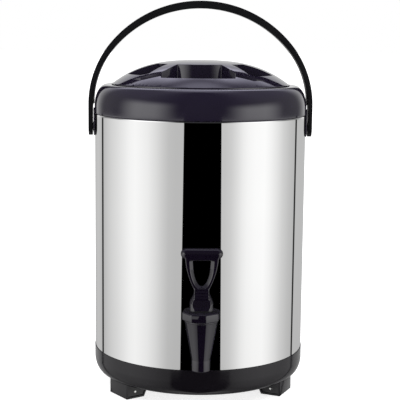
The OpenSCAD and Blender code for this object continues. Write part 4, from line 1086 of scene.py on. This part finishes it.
class DISPENSER_OT_lever(bpy.types.Operator):
    """Joins the bell, loop and cross bar of the lever and melts them into one moulding"""
    bl_idname = "dispenser.lever"
    bl_label = "Tap lever"

    tilt = math.radians(40)
    past = 30 * MM

    def heel(self):
        """Cutter that keeps what the bell may fill above the bonnet as the lever rolls."""
        lift, under, above, count = 7.162 * MM, 4.7 * MM, 80 * MM, 16
        roll = []
        for i in range(count + 1):
            a = self.tilt * i / count
            h = under + lift * a
            roll.append((-(h * math.sin(a) + lift * math.cos(a)), lift * math.sin(a) - h * math.cos(a)))
        outline = [(self.past, above), (self.past, -under)] + roll
        outline += [(roll[-1][0] - 2 * MM, 0), (-self.past, 4 * MM), (-self.past, above)]
        return plate("heel", [(-self.past, TAP_Y + y, PIN_Z + z) for y, z in outline], (2 * self.past, 0, 0))

    def stem_room(self):
        """Cutter for the stem inside the bell over the whole tilt, as it lies in the lever's own frame."""
        half, deep, side = 4.6 * MM, 18 * MM, 4.7 * MM
        sin, cos = math.sin(self.tilt), math.cos(self.tilt)
        outline = [(half, -deep), (-deep * sin - half * cos, half * sin - deep * cos), (-5 * MM, 4.2 * MM),
                   (-1.8 * MM, 6.4 * MM), (2.2 * MM, 6.4 * MM), (4.8 * MM, 4.8 * MM), (6.3 * MM, 2.4 * MM),
                   (6.3 * MM, -0.6 * MM), (half, -2.5 * MM)]
        return plate("stem_room", [(-side, TAP_Y + y, PIN_Z + z) for y, z in outline], (2 * side, 0, 0))

    def loop_plate(self, s):
        """Flat of the neck and the finger loop."""
        neck, top, thick, start, count = 8.1 * MM, 18.2 * MM, 9 * MM, 140 * MM, 32
        low_z, tall = 150.2 * MM, s.bar_z + 0.2 * MM - 150.2 * MM
        side = [(neck + (top - neck) * (1 - (1 - i / count) ** 2), low_z + tall * i / count)
                for i in range(count + 1)]
        outline = [(-neck, start), (neck, start)] + side + [(-x, z) for x, z in reversed(side)]
        body = plate("loop", [(x, TAP_Y - thick / 2, z) for x, z in outline], (0, thick, 0))
        hole_z, hole_w, hole_h = 182.2 * MM, 9.6 * MM, 28.6 * MM
        hole = arc((0, hole_z), hole_w, hole_h, 180, 360, 40)
        carve(body, plate("hole", [(x, TAP_Y - 20 * MM, z) for x, z in hole], (0, 40 * MM, 0)))
        with editing(body):
            pick("edges", lambda e: bend_of(e) > 1 and abs(e.verts[0].co.y - e.verts[1].co.y) < 1e-5)
            bevel(1.2 * MM, 3)
        # Each chamfer cutter starts and ends past the faces it meets, and none lies in their planes
        slant, past = 3.6 * MM, 0.4 * MM
        level, rim = hole_z - 0.05 * MM, slant + past
        for face in (-1, 1):
            start_y = TAP_Y + face * (thick / 2 + past)
            wide = arc((0, level), hole_w + rim, hole_h + rim, 180, 360, 40)
            funnel = plate("funnel", [(x, start_y, z) for x, z in wide], (0, -face * (rim + past), 0))
            for vertex in funnel.data.vertices:
                if abs(vertex.co.y - start_y) > slant / 2:
                    vertex.co.x *= (hole_w - past) / (hole_w + rim)
                    vertex.co.z = level + (vertex.co.z - level) * (hole_h - past) / (hole_h + rim)
            carve(body, funnel)
        return body

    def execute(self, context):
        s = context.scene.dispenser_tap
        floor = s.bonnet_top + 0.3 * MM
        neck, side_z, top, count = 8.15 * MM, floor + 6.5 * MM, floor + 21.7 * MM, 20
        flare = [(neck + (s.bell_r - neck) * (1 + math.cos(math.pi * i / count)) / 2,
                  side_z + (top - side_z) * i / count) for i in range(count + 1)]
        foot = floor - 0.5 * MM
        bell = lathe("lever_grip", [(0, foot), (s.bell_r, foot)] + flare + [(0, top)], TAP, 96, False)
        # The flat front, from the neck down to the flared foot, as points to the front and up
        front = [Vector(point) for point in
                 ((-4.5 * MM, top + 3 * MM), (-8.7 * MM, floor + 5 * MM), (-12.4 * MM, foot))]
        below = foot - 1 * MM
        shave = [(y, z) for y, z in front]
        shave += [(front[2].x - 0.7 * MM, below), (-self.past, below), (-self.past, front[0].y)]
        carve(bell, plate("shave", [(-self.past, TAP_Y + y, z) for y, z in shave], (2 * self.past, 0, 0)))
        # The slab stands a little proud, because faces in one plane can leave the union open
        ahead = [(y - 0.08 * MM, z - 0.05 * MM) for y, z in front]
        deep, wide = 9 * MM, 16 * MM
        slab = ahead + [(y + deep, z) for y, z in reversed(ahead)]
        carve(bell, plate("front", [(-wide / 2, TAP_Y + y, z) for y, z in slab], (wide, 0, 0)), "UNION")
        carve(bell, self.heel(), "INTERSECT")
        carve(bell, self.loop_plate(s), "UNION")
        half = s.bar_len / 2 - s.bar_r
        bar = [(x, z - half) for x, z in arc((0, 0), s.bar_r, s.bar_r, -90, 0, 12)]
        bar += [(x, z + half) for x, z in arc((0, 0), s.bar_r, s.bar_r, 0, 90, 12)]
        carve(bell, lathe("bar", bar, (0, TAP_Y, s.bar_z), 64, False, "X"), "UNION")
        rib_w, rib_h, proud, root, pin_r = 7.9 * MM, 1.3 * MM, 0.45 * MM, 2 * MM, 2.05 * MM
        for i in range(4):
            y, z = front[0].lerp(front[1], 0.08 + 0.165 * i)
            rib = block("rib", (-rib_w, TAP_Y + y - proud, z), (rib_w, TAP_Y + y + root, z + rib_h))
            carve(bell, rib, "UNION")
        carve(bell, self.stem_room())
        carve(bell, rod("pin", pin_r, (-self.past, TAP_Y, PIN_Z), (self.past, TAP_Y, PIN_Z), 32))
        apply_modifier(bell, "REMESH", mode="VOXEL", voxel_size=0.5 * MM)
        apply_modifier(bell, "SMOOTH", factor=0.5, iterations=4)
        smooth(bell, 180)
        place(bell, "lever", "gloss_black", "tap_moulding", "tap_lever")
        bell.visible_glossy = False
        return {"FINISHED"}


# Stage


class DISPENSER_OT_stage(bpy.types.Operator):
    """Sets the floor, the studio around it and the camera"""
    bl_idname = "dispenser.stage"
    bl_label = "Stage"

    # Brightness of the walls below the horizon, by the angle from the flag's middle in degrees
    left_wall = (
        (0, 0.54), (28, 0.55), (36, 0.58), (43, 0.68), (50, 0.8), (60, 0.94), (68, 1.0), (76, 1.04),
        (84, 1.0), (93, 0.9), (103, 0.8), (114, 0.71), (127, 0.58), (131.8, 0.52), (132.2, 0.01),
        (136.2, 0.01), (136.6, 0.54), (150, 0.59), (165, 0.52), (180, 0.51))
    right_wall = (
        (0, 0.6), (24, 0.61), (31, 0.68), (38, 0.81), (44, 0.94), (50, 1.02), (59, 1.07), (71, 1.09),
        (79, 1.01), (89, 0.87), (99, 0.71), (111, 0.59), (121.8, 0.52), (122.2, 0.02), (125.8, 0.02),
        (126.2, 0.55), (180, 0.51))
    # Share of that brightness by the angle down in degrees
    depth = (
        (0, 1.0), (9, 1.0), (13, 0.97), (16.7, 0.93), (20, 0.85), (26, 0.72), (40, 0.6), (55, 0.36),
        (68, 0.36), (80, 1.0), (90, 1.3))
    # Soft boxes above the horizon: middle, half width and softness in azimuth, the same in elevation, level
    boxes = (
        (-62, 24, 16, 3, 17, 9, 1.3), (62, 24, 16, 1, 13, 9, 1.25), (180, 30, 12, 48, 14, 6, 1.6),
        (180, 60, 40, 79, 10, 7, 0.85), (180, 42, 12, 8, 26, 12, 0.62), (180, 130, 30, 45, 60, 20, 0.2))
    # Level between the soft boxes, and their colour low and high up
    ambient, low_tint, high_tint = 0.03, (1, 1, 1), (1.0, 0.98, 1.2)
    # Heights on the unit sphere between which the walls give way to the soft boxes
    horizon = (-0.0785, -0.07)
    # What lights matt surfaces, and what a reflection inside a reflection meets
    fill, second_look = (0.85, 0.85, 0.85), (0.04, 0.04, 0.045)
    # How much wider the flag gets with each radian down, and the angles in degrees at which its foot starts
    widening, foot_start = 0.175, (-16.95, -16.8)

    def value(self, tree, operation, first, second=None):
        """A math node on sockets or plain numbers."""
        node = add(tree, "ShaderNodeMath", operation=operation)
        for socket, source in zip(node.inputs, (first, second)):
            if hasattr(source, "node"):
                tree.links.new(source, socket)
            elif source is not None:
                socket.default_value = source
        return node.outputs[0]

    def fade(self, tree, value, start, end):
        """A smooth fall from one to nothing between two values."""
        node = add(tree, "ShaderNodeMapRange", {"Value": value}, interpolation_type="SMOOTHSTEP")
        for socket, number in zip(("From Min", "From Max", "To Min", "To Max"), (start, end, 1.0, 0.0)):
            node.inputs[socket].default_value = number
        return node.outputs["Result"]

    def upper(self, tree, azimuth, rise):
        """Brightness of the soft boxes above the horizon."""
        total = self.ambient
        for side, half_w, soft_w, height, half_h, soft_h, level in self.boxes:
            wrapped = self.value(tree, "COSINE", self.value(tree, "SUBTRACT", azimuth, math.radians(side)))
            # Kept just inside the range of the arc cosine
            inside = self.value(tree, "MULTIPLY", wrapped, 0.99999)
            across = self.value(tree, "ARCCOSINE", inside)
            along = self.value(tree, "ABSOLUTE", self.value(tree, "SUBTRACT", rise, math.radians(height)))
            wide = self.fade(tree, across, math.radians(half_w - soft_w), math.radians(half_w + soft_w))
            tall = self.fade(tree, along, math.radians(half_h - soft_h), math.radians(half_h + soft_h))
            lit = self.value(tree, "MULTIPLY", self.value(tree, "MULTIPLY", wide, tall), level)
            total = self.value(tree, "ADD", lit, total)
        return total

    def ramp(self, tree, angle, whole, levels):
        """Brightness read from a row of angles and levels; whole is the angle at the row's end."""
        node = add(tree, "ShaderNodeValToRGB", {0: self.value(tree, "DIVIDE", angle, math.radians(whole))})
        stops = node.color_ramp.elements
        stops.remove(stops[1])
        stops[0].position, stops[0].color = 0, (levels[0][1],) * 3 + (1,)
        for degrees, level in levels[1:]:
            stops.new(degrees / whole).color = (level, level, level, 1)
        return node.outputs["Color"]

    def lower(self, tree, look, azimuth, rise):
        """Brightness below the horizon: two walls, dimmer further down, and the flag at the camera."""
        turn = self.value(tree, "SUBTRACT", azimuth, look.view_side + look.flag_turn)
        apart = self.value(tree, "ABSOLUTE", turn)
        down = self.value(tree, "ABSOLUTE", rise)
        left, right = (self.ramp(tree, apart, 180, wall) for wall in (self.left_wall, self.right_wall))
        walls = self.mix(tree, self.value(tree, "GREATER_THAN", turn, 0.0), left, right)
        dimmed = add(tree, "ShaderNodeVectorMath", {0: walls, 1: self.ramp(tree, down, 90, self.depth)},
                     operation="MULTIPLY").outputs[0]
        deep = self.fade(tree, rise, *map(math.radians, self.foot_start))
        edge = self.value(tree, "ADD", self.value(tree, "MULTIPLY", down, self.widening), look.flag)
        edge = self.value(tree, "ADD", edge, self.value(tree, "MULTIPLY", deep, look.flag_foot))
        soft = math.radians(0.2)
        flag = self.fade(tree, self.value(tree, "SUBTRACT", apart, edge), -soft, soft)
        return self.mix(tree, flag, dimmed, (0, 0, 0))

    def mix(self, tree, factor, first, second):
        """Mixes two colours, each a socket or plain."""
        node = add(tree, "ShaderNodeMix", {"Factor": factor}, data_type="RGBA")
        for socket, source in (("A", first), ("B", second)):
            if hasattr(source, "node"):
                tree.links.new(source, node.inputs[socket])
            else:
                node.inputs[socket].default_value = (*source, 1)
        return node.outputs["Result"]

    def sky(self, scene):
        """World that reflections see as the studio, the camera as white and matt surfaces as an even fill."""
        world = bpy.data.worlds.new("studio")
        scene.world = world
        world.use_nodes = True
        world.cycles.sampling_method = "NONE"
        tree = world.node_tree
        tree.nodes.clear()
        way = add(tree, "ShaderNodeSeparateXYZ", {0: add(tree, "ShaderNodeTexCoord").outputs["Generated"]})
        behind = self.value(tree, "MULTIPLY", way.outputs["Y"], -1.0)
        azimuth = self.value(tree, "ARCTAN2", way.outputs["X"], behind)
        rise = self.value(tree, "ARCSINE", way.outputs["Z"])
        raised = self.fade(tree, rise, math.radians(45), math.radians(10))
        cool = self.mix(tree, raised, self.low_tint, self.high_tint)
        boxes = add(tree, "ShaderNodeVectorMath", {0: cool}, operation="SCALE")
        tree.links.new(self.upper(tree, azimuth, rise), boxes.inputs["Scale"])
        below = self.fade(tree, way.outputs["Z"], *self.horizon)
        lower = self.lower(tree, scene.dispenser_stage, azimuth, rise)
        studio = self.mix(tree, below, boxes.outputs[0], lower)
        path = add(tree, "ShaderNodeLightPath").outputs
        dim = self.fade(tree, path["Glossy Depth"], 1.0, 2.0)
        once = self.mix(tree, dim, self.second_look, studio)
        seen = self.mix(tree, path["Is Glossy Ray"], self.fill, once)
        colour = self.mix(tree, path["Is Camera Ray"], seen, (1, 1, 1))
        sky = add(tree, "ShaderNodeBackground", {"Color": colour})
        out = add(tree, "ShaderNodeOutputWorld")
        tree.links.new(sky.outputs[0], out.inputs["Surface"])

    def floor(self, scene):
        """Pale floor that keeps the shadow and is lifted towards white for the camera alone."""
        wide, lifted = 40, 0.75
        deselect()
        bpy.ops.mesh.primitive_plane_add(size=wide)
        ground = settle(bpy.context.active_object, "stage_floor")
        material = bpy.data.materials.new("stage_pale")
        material.use_nodes = True
        tree = material.node_tree
        tree.nodes.clear()
        matt = add(tree, "ShaderNodeBsdfDiffuse")
        matt.inputs["Color"].default_value = (*scene.dispenser_stage.floor, 1)
        glow = add(tree, "ShaderNodeEmission")
        path = add(tree, "ShaderNodeLightPath")
        level = add(tree, "ShaderNodeMath", {0: path.outputs["Is Camera Ray"]}, operation="MULTIPLY")
        level.inputs[1].default_value = lifted
        tree.links.new(level.outputs[0], glow.inputs["Strength"])
        both = add(tree, "ShaderNodeAddShader", {0: matt.outputs[0], 1: glow.outputs[0]})
        out = add(tree, "ShaderNodeOutputMaterial")
        tree.links.new(both.outputs[0], out.inputs["Surface"])
        ground.data.materials.append(material)
        ground.visible_glossy = False

    def camera(self, scene):
        """Camera at the height and distance of the stage's settings."""
        look = scene.dispenser_stage
        data = bpy.data.cameras.new("camera")
        eye = bpy.data.objects.new("camera", data)
        scene.collection.objects.link(eye)
        data.lens, data.sensor_width, data.sensor_fit = look.lens, 36, "HORIZONTAL"
        data.shift_x = 0.00125
        data.clip_end = 100
        spot = BARREL + Vector((math.sin(look.view_side), -math.cos(look.view_side), 0)) * look.distance
        spot.z = look.height
        turn = Matrix.Rotation(look.view_side, 4, "Z") @ Matrix.Rotation(QUARTER - look.view_pitch, 4, "X")
        eye.matrix_world = Matrix.Translation(spot) @ turn @ Matrix.Rotation(look.view_roll, 4, "Z")
        scene.camera = eye

    def lamp(self, scene):
        """Soft lamp above the object, for its shadow on the floor."""
        data = bpy.data.lights.new("overhead", "AREA")
        data.size, data.energy = 2.5, 30
        lamp = bpy.data.objects.new("overhead", data)
        scene.collection.objects.link(lamp)
        lamp.location = (0, -0.6, 2.6)
        lamp.visible_glossy = False

    def execute(self, context):
        scene = context.scene
        scene.view_settings.view_transform = "Standard"
        self.sky(scene)
        self.floor(scene)
        self.lamp(scene)
        self.camera(scene)
        return {"FINISHED"}


OPERATORS = (
    DISPENSER_OT_stage, DISPENSER_OT_finishes, DISPENSER_OT_shell, DISPENSER_OT_collar, DISPENSER_OT_base,
    DISPENSER_OT_feet, DISPENSER_OT_rivets, DISPENSER_OT_lid, DISPENSER_OT_bail, DISPENSER_OT_pivots,
    DISPENSER_OT_tap_body, DISPENSER_OT_bonnet, DISPENSER_OT_spring, DISPENSER_OT_lever,
)
GROUPS = {
    "dispenser_barrel": BarrelSizes, "dispenser_lid": LidSizes, "dispenser_bail": BailSizes,
    "dispenser_tap": TapSizes, "dispenser_colours": FinishColours, "dispenser_stage": StageLook,
}


class DISPENSER_PT_panel(bpy.types.Panel):
    """Lists the sizes and the steps of the dispenser"""
    bl_idname = "DISPENSER_PT_panel"
    bl_label = "Dispenser"
    bl_space_type = "VIEW_3D"
    bl_region_type = "UI"
    bl_category = "Dispenser"

    def draw(self, context):
        for name, group in GROUPS.items():
            box = self.layout.box()
            for prop in group.__annotations__:
                box.prop(getattr(context.scene, name), prop)
        for operator in OPERATORS:
            self.layout.operator(operator.bl_idname)


def register():
    for cls in (*GROUPS.values(), *OPERATORS, DISPENSER_PT_panel):
        bpy.utils.register_class(cls)
    for name, group in GROUPS.items():
        setattr(bpy.types.Scene, name, PointerProperty(type=group))


def unregister():
    for name in GROUPS:
        delattr(bpy.types.Scene, name)
    for cls in reversed((*GROUPS.values(), *OPERATORS, DISPENSER_PT_panel)):
        bpy.utils.unregister_class(cls)


def main():
    """Registers the add-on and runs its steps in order."""
    register()
    for operator in OPERATORS:
        family, step = operator.bl_idname.split(".")
        getattr(getattr(bpy.ops, family), step)()
    bpy.context.view_layer.update()


if __name__ == "__main__":
    main()
